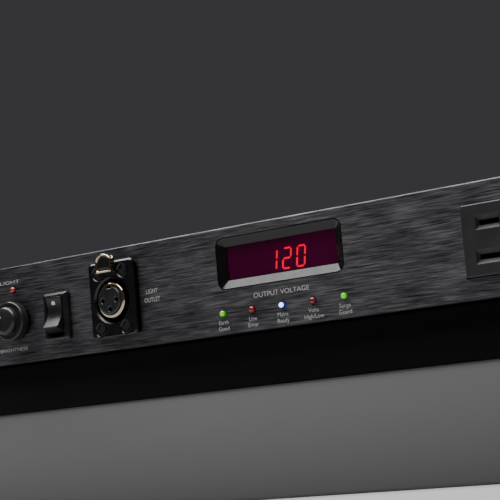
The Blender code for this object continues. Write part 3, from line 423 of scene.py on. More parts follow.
BRUSHED = brushed_panel("brushed_black_aluminium")
STEEL = powder_coat("black_powder_coat", (0.018, 0.018, 0.02), 0.48)
GLOSS = moulded("gloss_black_plastic", (0.008, 0.008, 0.009), 0.26, 0.5 * MM, 0.003 * MM)
BEZEL = moulded(
    "display_bezel_plastic", (0.004, 0.004, 0.004), 0.2, 0.4 * MM, 0.003 * MM, Specular_IOR_Level=0.42
)
KNOB = moulded("knob_plastic", (0.014, 0.014, 0.015), 0.3, 0.3 * MM, 0.006 * MM)
ROCKER = moulded("rocker_plastic", (0.010, 0.010, 0.011), 0.3, 0.3 * MM, 0.002 * MM)
OUTLET = moulded("outlet_plastic", (0.020, 0.020, 0.022), 0.42, 0.25 * MM, 0.008 * MM)
INSERT = moulded("insert_plastic", (0.016, 0.017, 0.017), 0.28, 0.25 * MM, 0.004 * MM)
# Near-black: the digit block's own black face, and painted shade in the screws' cross recesses and in the
# mask behind the display filter.
BLACK_FACE_AND_PAINTED_SHADE = moulded("black_face_and_painted_shade", (0.004, 0.004, 0.004), 0.7)
GREY = moulded("grey_component_plastic", (0.16, 0.16, 0.17), 0.5)
BLUE = moulded("varistor_epoxy", (0.02, 0.09, 0.32), 0.32, 0.6 * MM, 0.02 * MM)
RED_BUTTON = moulded("reset_button_plastic", (0.42, 0.015, 0.012), 0.35)
SOCKET_BLACK = powder_coat("socket_black_lacquer", (0.004, 0.004, 0.005), 0.24)
CHROME = plated("warm_bright_nickel", (0.58, 0.49, 0.34), 0.12)
NICKEL = plated("satin_nickel", (0.72, 0.68, 0.6), 0.24)
BLACK_SCREW = plated("black_oxide", (0.06, 0.06, 0.064), 0.26, 1.0)
COPPER = plated("enamelled_copper", (0.72, 0.34, 0.16), 0.26)
TIN = plated("tinned_copper", (0.7, 0.68, 0.64), 0.34)
CORE = powder_coat("varnished_core", (0.12, 0.10, 0.08), 0.45)
BOARD = circuit_board("circuit_board")
WINDOW = red_window("display_filter")
SEGMENTS = segment_glow("lit_segments")
OFF_SEGMENTS = moulded("unlit_segments", (0.05, 0.012, 0.014), 0.4)
WHITE_INK = ink("white_ink", (0.5, 0.5, 0.5))
WHITE_DOT = ink("white_dot_paint", (0.85, 0.85, 0.85))
GREEN_LIT = lit_lens("green_lamp_lit", (0.015, 0.16, 0.0), (0.15, 0.5, 0.0), 1.0)
BLUE_LIT = lit_lens("blue_lamp_lit", (0.0, 0.0, 0.09), (0.6, 0.75, 1.0), 3.0)
RED_OFF = dark_lens("red_lamp_unlit", (0.2, 0.004, 0.007))
RED_DIM = lit_lens("red_lamp_glowing", (0.12, 0.003, 0.004), (0.5, 0.02, 0.015), 0.15)


def paint(finish, *nodes):
    """Gives CAD nodes that keep their own shape a finish."""
    for name in nodes:
        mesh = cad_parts[name].data
        mesh.materials.clear()
        mesh.materials.append(finish)


# Front panel pieces

BEZEL_SIZE = (62.2 * MM, 21 * MM)
BEZEL_RADIUS = 3.4 * MM
BEZEL_LIP = 0.25 * MM
BEZEL_FRONT = 0.05 * MM
WINDOW_SIZE = (54.7 * MM, 14 * MM)
WINDOW_RADIUS = 0.4 * MM
WINDOW_DEPTH = 1.9 * MM
SHADE_MASK_SIZE = (56 * MM, 15.2 * MM)


def facet_corners(width, height, radius, depth, steps=3):
    """A rectangle's loop with each corner cut into a few straight facets."""
    points = []
    for quarter, (sx, sz) in enumerate(((1, 1), (-1, 1), (-1, -1), (1, -1))):
        cx, cz = sx * (width / 2 - radius), sz * (height / 2 - radius)
        for step in range(steps + 1):
            angle = math.radians(90 * (quarter + step / steps))
            points.append((cx + radius * math.cos(angle), depth, cz + radius * math.sin(angle)))
    return points


def display_bezel():
    """The sunken frame: four slopes that meet in facets at the corners."""
    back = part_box("display_bezel")[1].y - FACE
    width, height = BEZEL_SIZE
    inside = (width - BEZEL_LIP, height - BEZEL_LIP, BEZEL_RADIUS - BEZEL_LIP / 2)
    loops = [
        facet_corners(width, height, BEZEL_RADIUS, back),
        facet_corners(width, height, BEZEL_RADIUS, BEZEL_FRONT + BEZEL_LIP),
        facet_corners(*inside, BEZEL_FRONT),
        facet_corners(*WINDOW_SIZE, WINDOW_RADIUS, WINDOW_DEPTH),
        facet_corners(*WINDOW_SIZE, WINDOW_RADIUS, WINDOW_DEPTH + 0.6 * MM),
    ]
    bm = bmesh.new()
    loft(bm, loops, cap_start=False, cap_end=False)
    mesh = make_mesh("display_bezel_frame", bm, BEZEL, smooth_below=12)
    centre = Matrix.Translation((0, FACE, middle("display_lens").z))
    add_piece("display_bezel_frame", mesh, centre, replaces=["display_bezel"])


DIGIT_HEIGHT = 9 * MM
DIGIT_WIDTH = 4.6 * MM
DIGIT_PITCH = 7 * MM
DIGITS_AT = (0.9 * MM, -1.2 * MM)  # their middle, from the block's
STROKE = 0.85 * MM
SEGMENT_GAP = 0.18 * MM
SLANT = math.tan(math.radians(8))
READING = "120"
SEGMENTS_OF = {"0": "abcdef", "1": "bc", "2": "abged", "8": "abcdefg"}


def segment_outline(letter):
    """The six-cornered bar of one segment, in a cell centred on the origin."""
    half_w = (DIGIT_WIDTH - STROKE) / 2
    half_h = (DIGIT_HEIGHT - STROKE) / 2
    gap, half = SEGMENT_GAP, STROKE / 2
    if letter in "agd":
        z = {"a": half_h, "g": 0, "d": -half_h}[letter]
        ends = (-half_w + gap, half_w - gap)
        bar = [(ends[0], z), (ends[0] + half, z + half), (ends[1] - half, z + half)]
        bar += [(ends[1], z), (ends[1] - half, z - half), (ends[0] + half, z - half)]
    else:
        x = half_w if letter in "bc" else -half_w
        top, bottom = (half_h - gap, gap) if letter in "bf" else (-gap, -half_h + gap)
        bar = [(x, top), (x + half, top - half), (x + half, bottom + half)]
        bar += [(x, bottom), (x - half, bottom + half), (x - half, top - half)]
    return [(x + z * SLANT, z) for x, z in bar]


def digits(name, reading, finish, depth, thick, skip=None):
    """Raised bars for each segment of a reading, less those of another reading."""
    bm = bmesh.new()
    for k, figure in enumerate(reading):
        shift = (k - (len(reading) - 1) / 2) * DIGIT_PITCH
        skipped = SEGMENTS_OF[skip[k]] if skip else ""
        for letter in SEGMENTS_OF[figure]:
            if letter not in skipped:
                outline = [(x + shift, z) for x, z in segment_outline(letter)]
                loft(bm, [level(outline, depth), level(outline, depth + thick)])
    mesh = make_mesh(name, bm, finish)
    block = middle("digit_block")
    place = Matrix.Translation((block.x + DIGITS_AT[0], FACE, block.z + DIGITS_AT[1]))
    return add_piece(name, mesh, place)


def display():
    """The bezel, the red filter, the digit block with a near-black mask round it that is painted shade
    behind the filter, and its lit and unlit segments.
    """
    display_bezel()
    paint(WINDOW, "display_lens")
    low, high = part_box("digit_block")
    front = low.y - FACE
    lens = middle("display_lens")
    bm = bmesh.new()
    box(bm, (low.x, low.y + 0.3 * MM, low.z), high, 0.3 * MM)
    # A near-black sheet round the digit block: painted shade behind the filter.
    across, up = SHADE_MASK_SIZE[0] / 2, SHADE_MASK_SIZE[1] / 2
    shade_mask_low = (-across, low.y, lens.z - up)
    shade_mask_high = (across, low.y + 0.5 * MM, lens.z + up)
    box(bm, shade_mask_low, shade_mask_high, 0.1 * MM)
    mesh = make_mesh("digit_block_and_shade_mask", bm, BLACK_FACE_AND_PAINTED_SHADE)
    add_piece("digit_block_and_shade_mask", mesh, replaces=["digit_block"])
    digits("lit_digits", READING, SEGMENTS, front - 0.25 * MM, 0.2 * MM)
    digits("unlit_digits", "888", OFF_SEGMENTS, front - 0.12 * MM, 0.1 * MM, skip=READING)


LAMP_RADIUS = 1.48 * MM
DOME_STEPS = 9


def lamps():
    """Domed 3 mm lamps: a dome, its straight body and its collar behind the panel."""
    finishes = [GREEN_LIT, RED_OFF, BLUE_LIT, RED_OFF, GREEN_LIT]
    names = [f"status_led_{k + 1}" for k in range(len(finishes))] + ["indicator_led"]
    radius = LAMP_RADIUS
    for name, lens in zip(names, finishes + [RED_DIM]):
        low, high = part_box(name)
        dome, end = FACE - low.y, high.y - FACE
        profile = []
        for step in range(DOME_STEPS + 1):
            angle = math.radians(90 * step / DOME_STEPS)
            profile.append((radius * math.sin(angle), -dome * math.cos(angle)))
        collar = radius + 0.5 * MM
        profile += [(radius, 3.6 * MM), (collar, 3.8 * MM), (collar, 4.6 * MM)]
        profile += [(radius, 4.8 * MM), (radius, end), (0, end)]
        bm = bmesh.new()
        turn(bm, profile, 40)
        mesh = make_mesh(f"{name}_dome", bm, lens)
        add_piece(f"{name}_dome", mesh, on_panel(name), replaces=[name])


ROCKER_MOUTH = (9.4 * MM, 17.6 * MM)
ROCKER_MOUTH_DEPTH = 9 * MM
ROCKER_BODY = (12.6 * MM, 18.8 * MM)
ROCKER_TILT = 14  # degrees that the paddle leans either way
ROCKER_PIVOT_DEPTH = 2.5 * MM
PADDLE_HALF_WIDTH = 4.3 * MM
PADDLE_HALF_HEIGHT = 8 * MM
PADDLE_FACE_HALF = 6.8 * MM  # half the height of its hollow face
DOT_RADIUS = 1.1 * MM
DOT_HEIGHT = 4.4 * MM


def rocker_frame():
    """A raised frame with a wide rounded bevel, and a straight body behind the panel."""
    low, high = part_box("rocker_housing")
    width, height = high.x - low.x, high.z - low.z
    proud, deep = FACE - low.y, high.y - FACE
    mouth_width, mouth_height = ROCKER_MOUTH
    loops = [soft_loop(mouth_width, mouth_height, 0.5 * MM, ROCKER_MOUTH_DEPTH)]
    for outward, back in ((0, 0.4), (0.12, 0.12), (0.4, 0)):
        grown = 2 * outward * MM
        loops.append(soft_loop(mouth_width + grown, mouth_height + grown, 0.6 * MM, -proud + back * MM))
    for inward, back in ((1.1, 0), (1.0, 0.04), (0.04, 1.0), (0, 1.1)):
        cut = 2 * inward * MM
        loops.append(soft_loop(width - cut, height - cut, 0.9 * MM, -proud + back * MM))
    loops.append(soft_loop(width, height, 0.9 * MM, 0))
    bm = bmesh.new()
    loft(bm, loops, cap_start=False, cap_end=False)
    body = [soft_loop(*ROCKER_BODY, 0.5 * MM, y) for y in (0, deep)]
    loft(bm, body, cap_start=False)
    mesh = make_mesh("rocker_frame", bm, GLOSS)
    place = on_panel("rocker_housing")
    add_piece("rocker_frame", mesh, place, replaces=["rocker_housing"])


def rocker_face_depth(z):
    """The depth of the paddle's hollow face at a height from its middle, before it's tilted."""
    share = min(1, abs(z) / PADDLE_FACE_HALF)
    return (-4.9 - 2.3 * share**1.8) * MM


def rocker_section():
    """The paddle's outline in depth and height: a hollow face, rounded tips and a plain back."""
    heights = [PADDLE_FACE_HALF * k / 10 for k in range(-10, 11)]
    face = [(rocker_face_depth(z), z) for z in heights]
    tip = [(-6.9 * MM, 7.2 * MM), (-2.0 * MM, 8.1 * MM), (1.5 * MM, 7.0 * MM)]
    back = tip + [(y, -z) for y, z in reversed(tip)]
    return softened(face + back, 0.35 * MM, 2)


def rocker_switch():
    """The frame, and a paddle that is leant back as it rests, with a white dot on its upper half."""
    rocker_frame()
    place = on_panel("rocker_housing")
    tilt = Matrix.Rotation(math.radians(-ROCKER_TILT), 4, "X")
    pivot = place @ Matrix.Translation((0, ROCKER_PIVOT_DEPTH, 0)) @ tilt
    bm = bmesh.new()
    section = rocker_section()
    loops = []
    for inward, inset in ((0, 0.45), (0.15, 0.15), (0.45, 0)):
        shrink = inset * MM
        squash = 1 - shrink / PADDLE_HALF_HEIGHT
        loop = [(y + shrink * (1 if y < 0 else -1), z * squash) for y, z in section]
        loops.append((PADDLE_HALF_WIDTH - inward * MM, loop))
    stations = [(-x, loop) for x, loop in loops] + [(x, loop) for x, loop in reversed(loops)]
    loft(bm, [[(x, y, z) for y, z in loop] for x, loop in stations])
    mesh = make_mesh("rocker_paddle", bm, ROCKER, smooth_below=40)
    add_piece("rocker_paddle", mesh, pivot, "rocker", ["power_rocker"])

    bm = bmesh.new()
    dot = circle(DOT_RADIUS, 32)
    face_y = rocker_face_depth(DOT_HEIGHT)
    loft(bm, [level(dot, -0.03 * MM), level(dot, 0.3 * MM)])
    slope = (rocker_face_depth(DOT_HEIGHT + MM) - face_y) / MM
    lean = Matrix.Rotation(-math.atan(slope), 4, "X")
    mesh = make_mesh("rocker_dot", bm, WHITE_DOT)
    spot = pivot @ Matrix.Translation((-0.3 * MM, face_y, DOT_HEIGHT)) @ lean
    add_piece("rocker_dot", mesh, spot, "rocker")


POINTER_ANGLE = -40  # degrees from straight up
POINTER_SIZE = (0.6 * MM, 2.6 * MM)


def rounded_rim(radius, front, fillet, steps=6):
    """The part of a turned profile that rounds from a front face over to a side."""
    angles = [math.pi / 2 * k / steps for k in range(steps + 1)]
    return [(radius - fillet * (1 - math.sin(a)), front + fillet * (1 - math.cos(a))) for a in angles]


def dimmer():
    """A turned knob: a flared skirt, a narrower grip with a shallow dished face, and a pointer line."""
    low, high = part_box("dimmer_knob")
    front, back = low.y - FACE, high.y - FACE
    skirt, grip, skirt_front = 8.8 * MM, 6.4 * MM, -4.6 * MM
    hollow, hollow_floor = 7.4 * MM, -3.2 * MM
    profile = [(0, front + 0.25 * MM), (grip - 2 * MM, front + 0.2 * MM), (grip - 1.7 * MM, front)]
    profile += rounded_rim(grip, front, 1.7 * MM)
    profile += [(grip, skirt_front)]
    profile += rounded_rim(skirt, skirt_front, 0.8 * MM)
    profile += [(skirt, back), (hollow, back), (hollow, hollow_floor), (3.4 * MM, hollow_floor)]
    bm = bmesh.new()
    turn(bm, profile, 96)
    mesh = make_mesh("dimmer_knob_cap", bm, KNOB)
    place = on_panel("dimmer_knob")
    add_piece("dimmer_knob_cap", mesh, place, "dimmer", ["dimmer_knob"])
    bm = bmesh.new()
    line = softened(rectangle(*POINTER_SIZE, (0, grip - 3.2 * MM)), 0.25 * MM)
    loft(bm, [level(line, front + 0.17 * MM), level(line, front + 0.5 * MM)])
    mesh = make_mesh("dimmer_pointer", bm, WHITE_INK)
    lean = Matrix.Rotation(math.radians(POINTER_ANGLE), 4, "Y")
    add_piece("dimmer_pointer", mesh, place @ lean, "dimmer")


SHANK_RADIUS = 1.5 * MM
SHANK_LENGTH = 7 * MM


def painted_cross_recess_shade(bm, radius, depth, front):
    """Two crossed slots in near-black, painted shade standing for a cross recess, set just proud of a
    screw's face.
    """
    long, short = 1.24 * radius, 0.34 * radius
    for slot in (rectangle(long, short), rectangle(short, long)):
        loft(bm, [level(slot, front), level(slot, front + depth)])


def screw_mesh(name, profile, face, radius):
    """A turned head with a cross of slots in it, painted as the shade of its recess."""
    bm = bmesh.new()
    turn(bm, softened(profile, 0.15 * MM, 2, closed=False), 32)
    mesh = make_mesh(name, bm, BLACK_SCREW)
    bm = bmesh.new()
    # The cross is painted shade set on the head, not a cut recess.
    painted_cross_recess_shade(bm, radius, 0.3 * MM, face)
    cross = make_mesh(f"{name}_cross", bm, BLACK_FACE_AND_PAINTED_SHADE)
    return mesh, cross


def add_screws(nodes, meshes, places):
    """Puts a head and its recess in the place of each screw node. The recess is the head's child."""
    for node, place in zip(nodes, places):
        head = add_piece(f"{node}_head", meshes[0], place, replaces=[node])
        cross = bpy.data.objects.new(f"{node}_recess", meshes[1])
        bpy.context.scene.collection.objects.link(cross)
        cross.parent = head


SOCKET_BORE = 9.3 * MM
RING_OUTER = 7.7 * MM
RING_INNER = 6.2 * MM
INSERT_RADIUS = 6.1 * MM
PIN_CIRCLE = 3.81 * MM
PIN_HOLE_RADIUS = 0.9 * MM
BARREL_RADIUS = 11.2 * MM
COUNTERSINK_RADIUS = 2.4 * MM


def socket_plate(place, spots):
    """The upright flange: a wide flat bevel, a barrel behind it, its bore and four countersinks."""
    low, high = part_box("socket_flange")
    width, height = high.x - low.x, high.z - low.z
    offset = (low.z + high.z) / 2 - place.translation.z
    proud, deep = FACE - low.y, high.y - FACE
    bevel = 0.8 * MM
    rim = softened(rectangle(width, height, (0, offset)), 2 * MM, 5)
    holes = [circle(COUNTERSINK_RADIUS, 28, spot) for spot in spots]
    bm = bmesh.new()
    plate(bm, [rim, circle(SOCKET_BORE, 72), *holes], -proud, 0, bevel, 0)
    loft(bm, [level(circle(SOCKET_BORE, 72), y) for y in (-proud + bevel, 12 * MM)], cap_start=False)
    loft(bm, [level(circle(BARREL_RADIUS, 72), y) for y in (0, deep)], cap_start=False)
    for spot in spots:
        cone = ((COUNTERSINK_RADIUS, -proud + bevel), (1.6 * MM, -0.7 * MM))
        loft(bm, [level(circle(r, 28, spot), y) for r, y in cone], cap_start=False)
    mesh = make_mesh("socket_plate", bm, SOCKET_BLACK)
    add_piece("socket_plate", mesh, place, replaces=["socket_flange"])


def socket_nose(place):
    """The bright ring round the insulator."""
    low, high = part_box("socket_ring")
    front, back = low.y - FACE, high.y - FACE
    rim = ((0, 0.9), (0.1, 0.6), (0.35, 0.32), (0.75, 0.1), (1.1, 0))  # mm in from its side and front
    profile = [(RING_OUTER, back)]
    profile += [(RING_OUTER - inward * MM, front + behind * MM) for inward, behind in rim]
    profile += [(RING_INNER + 0.1 * MM, front), (RING_INNER, front + 0.1 * MM), (RING_INNER, back)]
    bm = bmesh.new()
    turn(bm, profile, 96)
    mesh = make_mesh("socket_nose", bm, CHROME)
    add_piece("socket_nose", mesh, place, replaces=["socket_ring"])


def notched_circle(radius, notch, sides=72):
    """A circle's outline with its top cut down to a notch's lower edge between the notch's sides."""
    half = max(x for x, z in notch)
    floor = min(z for x, z in notch)
    start = math.acos(half / radius)
    angles = [math.pi - start + (math.pi + 2 * start) * k / sides for k in range(sides + 1)]
    points = [(radius * math.cos(a), radius * math.sin(a)) for a in angles]
    return points + [(half, floor), (-half, floor)]


def socket_insulator(place):
    """The insulator: three pin holes with countersunk mouths and a key slot at its top."""
    low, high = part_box("socket_insert")
    front, back = low.y - FACE, high.y - FACE
    pins = []
    for angle in (0, 180, 270):
        turn_by = math.radians(angle)
        centre = (PIN_CIRCLE * math.cos(turn_by), PIN_CIRCLE * math.sin(turn_by))
        pins.append(circle(PIN_HOLE_RADIUS, 24, centre))
    key = rectangle(2.4 * MM, 1.2 * MM, (0, INSERT_RADIUS - 0.3 * MM))
    bm = bmesh.new()
    plate(bm, [notched_circle(INSERT_RADIUS, key), *pins], front, back, 0.7 * MM, 4)
    for pin in pins:
        loft(bm, [level(pin, front + 0.7 * MM), level(pin, 9 * MM)], cap_start=False)
    mesh = make_mesh("socket_insulator", bm, INSERT)
    add_piece("socket_insulator", mesh, place, replaces=["socket_insert"])


def lamp_socket():
    """The flange, ring, insulator and four countersunk screws."""
    ring = middle("socket_ring")
    place = Matrix.Translation((ring.x, FACE, ring.z))
    screws = [f"socket_screw_{k + 1}" for k in range(4)]
    spots = [(middle(name).x - ring.x, middle(name).z - ring.z) for name in screws]
    socket_plate(place, spots)
    socket_nose(place)
    socket_insulator(place)
    head = [(0, -2.35 * MM), (2.5 * MM, -2.35 * MM), (2.65 * MM, -2.2 * MM), (SHANK_RADIUS, -0.9 * MM)]
    head += [(SHANK_RADIUS, SHANK_LENGTH), (0, SHANK_LENGTH)]
    meshes = screw_mesh("countersunk_head", head, -2.39 * MM, 2.6 * MM)
    add_screws(screws, meshes, [on_panel(name) for name in screws])


LATCH_THICK = 3 * MM
LATCH_ARCH = 3.4 * MM  # how far its rounded top falls from the middle to the sides
LATCH_STEM = (33.3 * MM, 35.9 * MM)  # bottom and top
LATCH_STEM_WIDTH = 5.2 * MM


def latch():
    """The push tab: a bright rounded rim, a black domed pad in its hollow, and the stem behind."""
    low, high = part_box("socket_latch")
    centre = (low + high) / 2
    half, top = (high.x - low.x) / 2, (high.z - low.z) / 2
    front = low.y - FACE

    def tab(inset):
        """The outline, brought in evenly: an elliptical arch over a flat foot."""
        across, rise = half - inset, LATCH_ARCH - inset * 0.6
        arc = [math.radians(180 * k / 24) for k in range(25)]
        points = [(across * math.cos(a), top - inset - rise * (1 - math.sin(a))) for a in arc]
        foot = inset - top
        return softened(points + [(-across, foot), (across, foot)], 0.6 * MM, 3)

    bm = bmesh.new()
    levels = [(0.0, LATCH_THICK / MM), (0.0, 0.6), (0.08, 0.3), (0.25, 0.08), (0.5, 0.0)]
    levels += [(0.75, 0.08), (0.95, 0.35), (1.2, 0.9), (1.7, 1.4), (2.6, 1.6)]
    loft(bm, [level(tab(inset * MM), front + back * MM) for inset, back in levels])
    stem_low, stem_high = (z - centre.z for z in LATCH_STEM)
    stem_front = front + LATCH_THICK - 0.2 * MM
    half_stem = LATCH_STEM_WIDTH / 2
    box(bm, (-half_stem, stem_front, stem_low), (half_stem, high.y - FACE, stem_high), 0.2 * MM)
    mesh = make_mesh("latch_tab", bm, CHROME, smooth_below=50)
    place = Matrix.Translation((centre.x, FACE, centre.z))
    add_piece("latch_tab", mesh, place, "latch", ["socket_latch"])
    bm = bmesh.new()
    dome = [(1.0, 1.0), (1.2, 0.65), (1.6, 0.4), (2.2, 0.28), (2.9, 0.25)]
    loft(bm, [level(tab(inset * MM), front + back * MM) for inset, back in dome])
    mesh = make_mesh("latch_pad", bm, GLOSS, smooth_below=60)
    add_piece("latch_pad", mesh, place, "latch")


# Outlets

OUTLET_FACE = (34 * MM, 27.1 * MM)
OUTLET_CHAMFER = 0.4 * MM
OUTLET_SHELL = (36.4 * MM, 30 * MM)
OUTLET_PROUD = 1.2 * MM
BLADE_SPACING = 12.7 * MM
BLADE_LINE = -5.85 * MM
SLOT_LENGTHS = (8.1 * MM, 10 * MM)
SLOT_HEIGHT = 1.9 * MM
SLOT_FLARE = (1 * MM, 1.75 * MM)
SLOT_DEPTH = 14 * MM
FLARE_DEPTH = 0.4 * MM
EARTH_X = BLADE_LINE + 11.9 * MM
EARTH_RADIUS = 2.75 * MM


def earth_outline(radius):
    """A circle with one flat side, as an earth hole has."""
    arc = [math.radians(-130 + 260 * k / 28) for k in range(29)]
    return [(EARTH_X + radius * math.cos(a), radius * math.sin(a)) for a in arc]


def scaled(outline, factor):
    return [(x * factor, z * factor) for x, z in outline]


def outlet_mesh(name, wall, deep):
    """One outlet: a face whose two blade slots and earth hole have flared mouths, and its body."""
    mouths, throats = [], []
    across, along = SLOT_FLARE
    for side, length in zip((1, -1), SLOT_LENGTHS):
        centre = (BLADE_LINE, side * BLADE_SPACING / 2)
        mouth = rectangle(length + 2 * across, SLOT_HEIGHT + 2 * along, centre)
        mouths.append(softened(mouth, 0.3 * MM))
        throats.append(softened(rectangle(length, SLOT_HEIGHT, centre), 0.15 * MM))
    mouths.append(earth_outline(EARTH_RADIUS + across))
    throats.append(earth_outline(EARTH_RADIUS))
    bm = bmesh.new()
    edge = 0.12 * MM
    front = -OUTLET_PROUD
    width, height = (side - 2 * OUTLET_CHAMFER for side in OUTLET_FACE)
    face = softened(rectangle(width, height), 0.3 * MM)
    plate(bm, [face, *mouths], front, front + 3 * edge, edge, 1)
    sides = [level(face, front + edge)]
    sides += [soft_loop(*OUTLET_FACE, 0.5 * MM, y) for y in (front + 0.5 * MM, wall)]
    loft(bm, sides, cap_start=False, cap_end=False)
    for mouth, throat in zip(mouths, throats):
        loops = [level(mouth, front + edge), level(throat, FLARE_DEPTH), level(throat, SLOT_DEPTH)]
        loft(bm, loops, cap_start=False)
    shell = softened(rectangle(*OUTLET_SHELL), 0.8 * MM)
    loops = [level(scaled(shell, 0.92), wall), level(shell, wall + 0.3 * MM), level(shell, deep)]
    loft(bm, loops, cap_start=False)
    return make_mesh(name, bm, OUTLET, smooth_below=30)


def outlets():
    """The front outlet in the panel, and the row of rear ones that share a mesh."""
    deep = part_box("front_outlet")[1].y - FACE
    mesh = outlet_mesh("front_outlet_body", PANEL_HIGH.y - FACE, deep)
    place = on_panel("front_outlet")
    add_piece("front_outlet_body", mesh, place, replaces=["front_outlet"])
    rear = sorted(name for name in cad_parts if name.startswith("rear_outlet"))
    deep = REAR_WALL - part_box(rear[0])[0].y
    mesh = outlet_mesh("rear_outlet_body", SHEET, deep)
    for name in rear:
        add_piece(f"{name}_body", mesh, on_rear(name), replaces=[name])


# Rear wall

CAVITY_SIZE = (24.6 * MM, 16.8 * MM)
CAVITY_DEPTH = 14.5 * MM
INLET_SHELL = (27 * MM, 19.6 * MM)
INLET_SCREW_SPACING = 40 * MM


def inlet():
    """The mains inlet with its three pins and two pan-head screws, and the cover's screws like them."""
    place = on_rear("inlet_body")
    low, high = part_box("inlet_body")
    width, height = high.x - low.x, high.z - low.z
    proud, deep = high.y - REAR_WALL, REAR_WALL - low.y
    rim = softened(rectangle(width, height), 5 * MM, 6)
    cavity = softened(rectangle(*CAVITY_SIZE), 2.2 * MM, 4)
    screws = ["inlet_screw_1", "inlet_screw_2"]
    holes = [circle(1.9 * MM, 24, (side * INLET_SCREW_SPACING / 2, 0)) for side in (-1, 1)]
    bm = bmesh.new()
    plate(bm, [rim, cavity, *holes], -proud, 0, 0.5 * MM, 3)
    loft(bm, [level(cavity, -proud + 0.6 * MM), level(cavity, CAVITY_DEPTH)], cap_start=False)
    shell = rectangle(*INLET_SHELL)
    loft(bm, [level(shell, 0), level(shell, deep)], cap_start=False)
    mesh = make_mesh("inlet_moulding", bm, GLOSS)
    add_piece("inlet_moulding", mesh, place, replaces=["inlet_body"])

    for name in ("inlet_pin_line", "inlet_pin_neutral", "inlet_pin_earth"):
        low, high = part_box(name)
        bm = bmesh.new()
        box(bm, low, high, 0.35 * MM, 3)
        mesh = make_mesh(f"{name}_blade", bm, NICKEL)
        add_piece(f"{name}_blade", mesh, replaces=[name])

    head = [(0, -1.7 * MM), (1.6 * MM, -1.6 * MM), (2.6 * MM, -1.1 * MM), (2.9 * MM, 0)]
    head += [(SHANK_RADIUS, 0), (SHANK_RADIUS, SHANK_LENGTH), (0, SHANK_LENGTH)]
    meshes = screw_mesh("pan_head", head, -1.76 * MM, 2.6 * MM)
    seats = [on_rear(name) @ Matrix.Translation((0, -proud - 0.1 * MM, 0)) for name in screws]
    add_screws(screws, meshes, seats)

    covers = sorted(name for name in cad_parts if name.startswith("cover_screw"))
    seats = []
    for name in covers:
        low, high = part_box(name)
        side = 1 if low.x > 0 else -1
        edge = max(abs(low.x), abs(high.x)) - 1.7 * MM
        centre = middle(name)
        spot = Matrix.Translation((side * edge, centre.y, centre.z))
        seats.append(spot @ Matrix.Rotation(side * math.pi / 2, 4, "Z"))
    add_screws(covers, meshes, seats)


def breaker():
    """The breaker: a threaded bush through the wall, a hexagonal nut and a red reset button."""
    place = on_rear("breaker_button")
    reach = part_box("breaker_button")[1].y - REAR_WALL
    bush = [(3.4 * MM, 8 * MM), (3.4 * MM, -3.6 * MM), (3.8 * MM, -4 * MM), (4.8 * MM, -4 * MM)]
    thread = []
    pitch = 0.4 * MM
    for k in range(12):
        depth = -3.7 * MM + k * pitch
        thread += [(5.0 * MM, depth), (4.75 * MM, depth + pitch / 2)]
    shell = [(5 * MM, 1.4 * MM), (8 * MM, 1.5 * MM), (8 * MM, 24 * MM), (0, 24 * MM)]
    bm = bmesh.new()
    turn(bm, bush + thread + shell, 64)
    mesh = make_mesh("breaker_case", bm, GLOSS)
    add_piece("breaker_case", mesh, place, replaces=["breaker_body"])
    bm = bmesh.new()
    nut = softened(circle(8 * MM, 6), 0.5 * MM)
    plate(bm, [nut, circle(5.2 * MM, 48)], -3 * MM, 0, 0.35 * MM, 2)
    mesh = make_mesh("breaker_hex_nut", bm, NICKEL)
    add_piece("breaker_hex_nut", mesh, place, replaces=["breaker_nut"])
    radius = 3.05 * MM
    cap = [(0, -reach + 0.35 * MM), (radius - 1.1 * MM, -reach + 0.25 * MM), (radius - 0.5 * MM, -reach)]
    cap += [(radius, -reach + 0.6 * MM), (radius, 6.7 * MM), (0, 6.7 * MM)]
    bm = bmesh.new()
    turn(bm, softened(cap, 0.25 * MM, 3, closed=False), 48)
    mesh = make_mesh("reset_cap", bm, RED_BUTTON)
    add_piece("reset_cap", mesh, place, "reset_button", ["breaker_button"])


# Lettering


def lettering(name, text, x, z, height, width=None, pitch=1.5):
    """Printed words, centred on a point and stretched to a width. Lines are a pitch apart, in heights."""
    curve = bpy.data.curves.new(name, "FONT")
    curve.body = text
    curve.align_x = "CENTER"
    curve.align_y = "CENTER"
    curve.size = height / 0.7
    curve.space_line = 0.7 * pitch
    curve.extrude = 0.015 * MM
    bm = bmesh.new()
    add_curve(bm, curve, Matrix.Rotation(math.pi / 2, 4, "X"))
    if width:
        across = [v.co.x for v in bm.verts]
        factor = width / (max(across) - min(across))
        bmesh.ops.scale(bm, vec=(factor, 1, 1), verts=bm.verts)
    mesh = make_mesh(name, bm, WHITE_INK)
    add_piece(name, mesh, Matrix.Translation((x, FACE - 0.02 * MM, z)))


STATUS_WORDS = ("Earth\nGood", "Line\nError", "Mains\nReady", "Volts\nHigh/Low", "Surge\nGuard")


def panel_lettering():
    lettering("words_title", "OUTPUT VOLTAGE", 0, 13.9 * MM, 2.0 * MM, 27.5 * MM)
    for k, words in enumerate(STATUS_WORDS):
        x = middle(f"status_led_{k + 1}").x
        lettering(f"words_status_{k + 1}", words, x, 3.5 * MM, 1.7 * MM)
    lettering("words_lamp_socket", "LIGHT\nOUTLET", -67 * MM, 20.6 * MM, 1.9 * MM, 8.6 * MM, 1.9)
    knob_x = middle("dimmer_knob").x
    lettering("words_dimmer", "BRIGHTNESS", knob_x - 2 * MM, 6.1 * MM, 1.5 * MM, 17 * MM)
    lettering("words_indicator", "LIGHT", knob_x - 2 * MM, 36.6 * MM, 1.5 * MM, 12 * MM)


# Inside


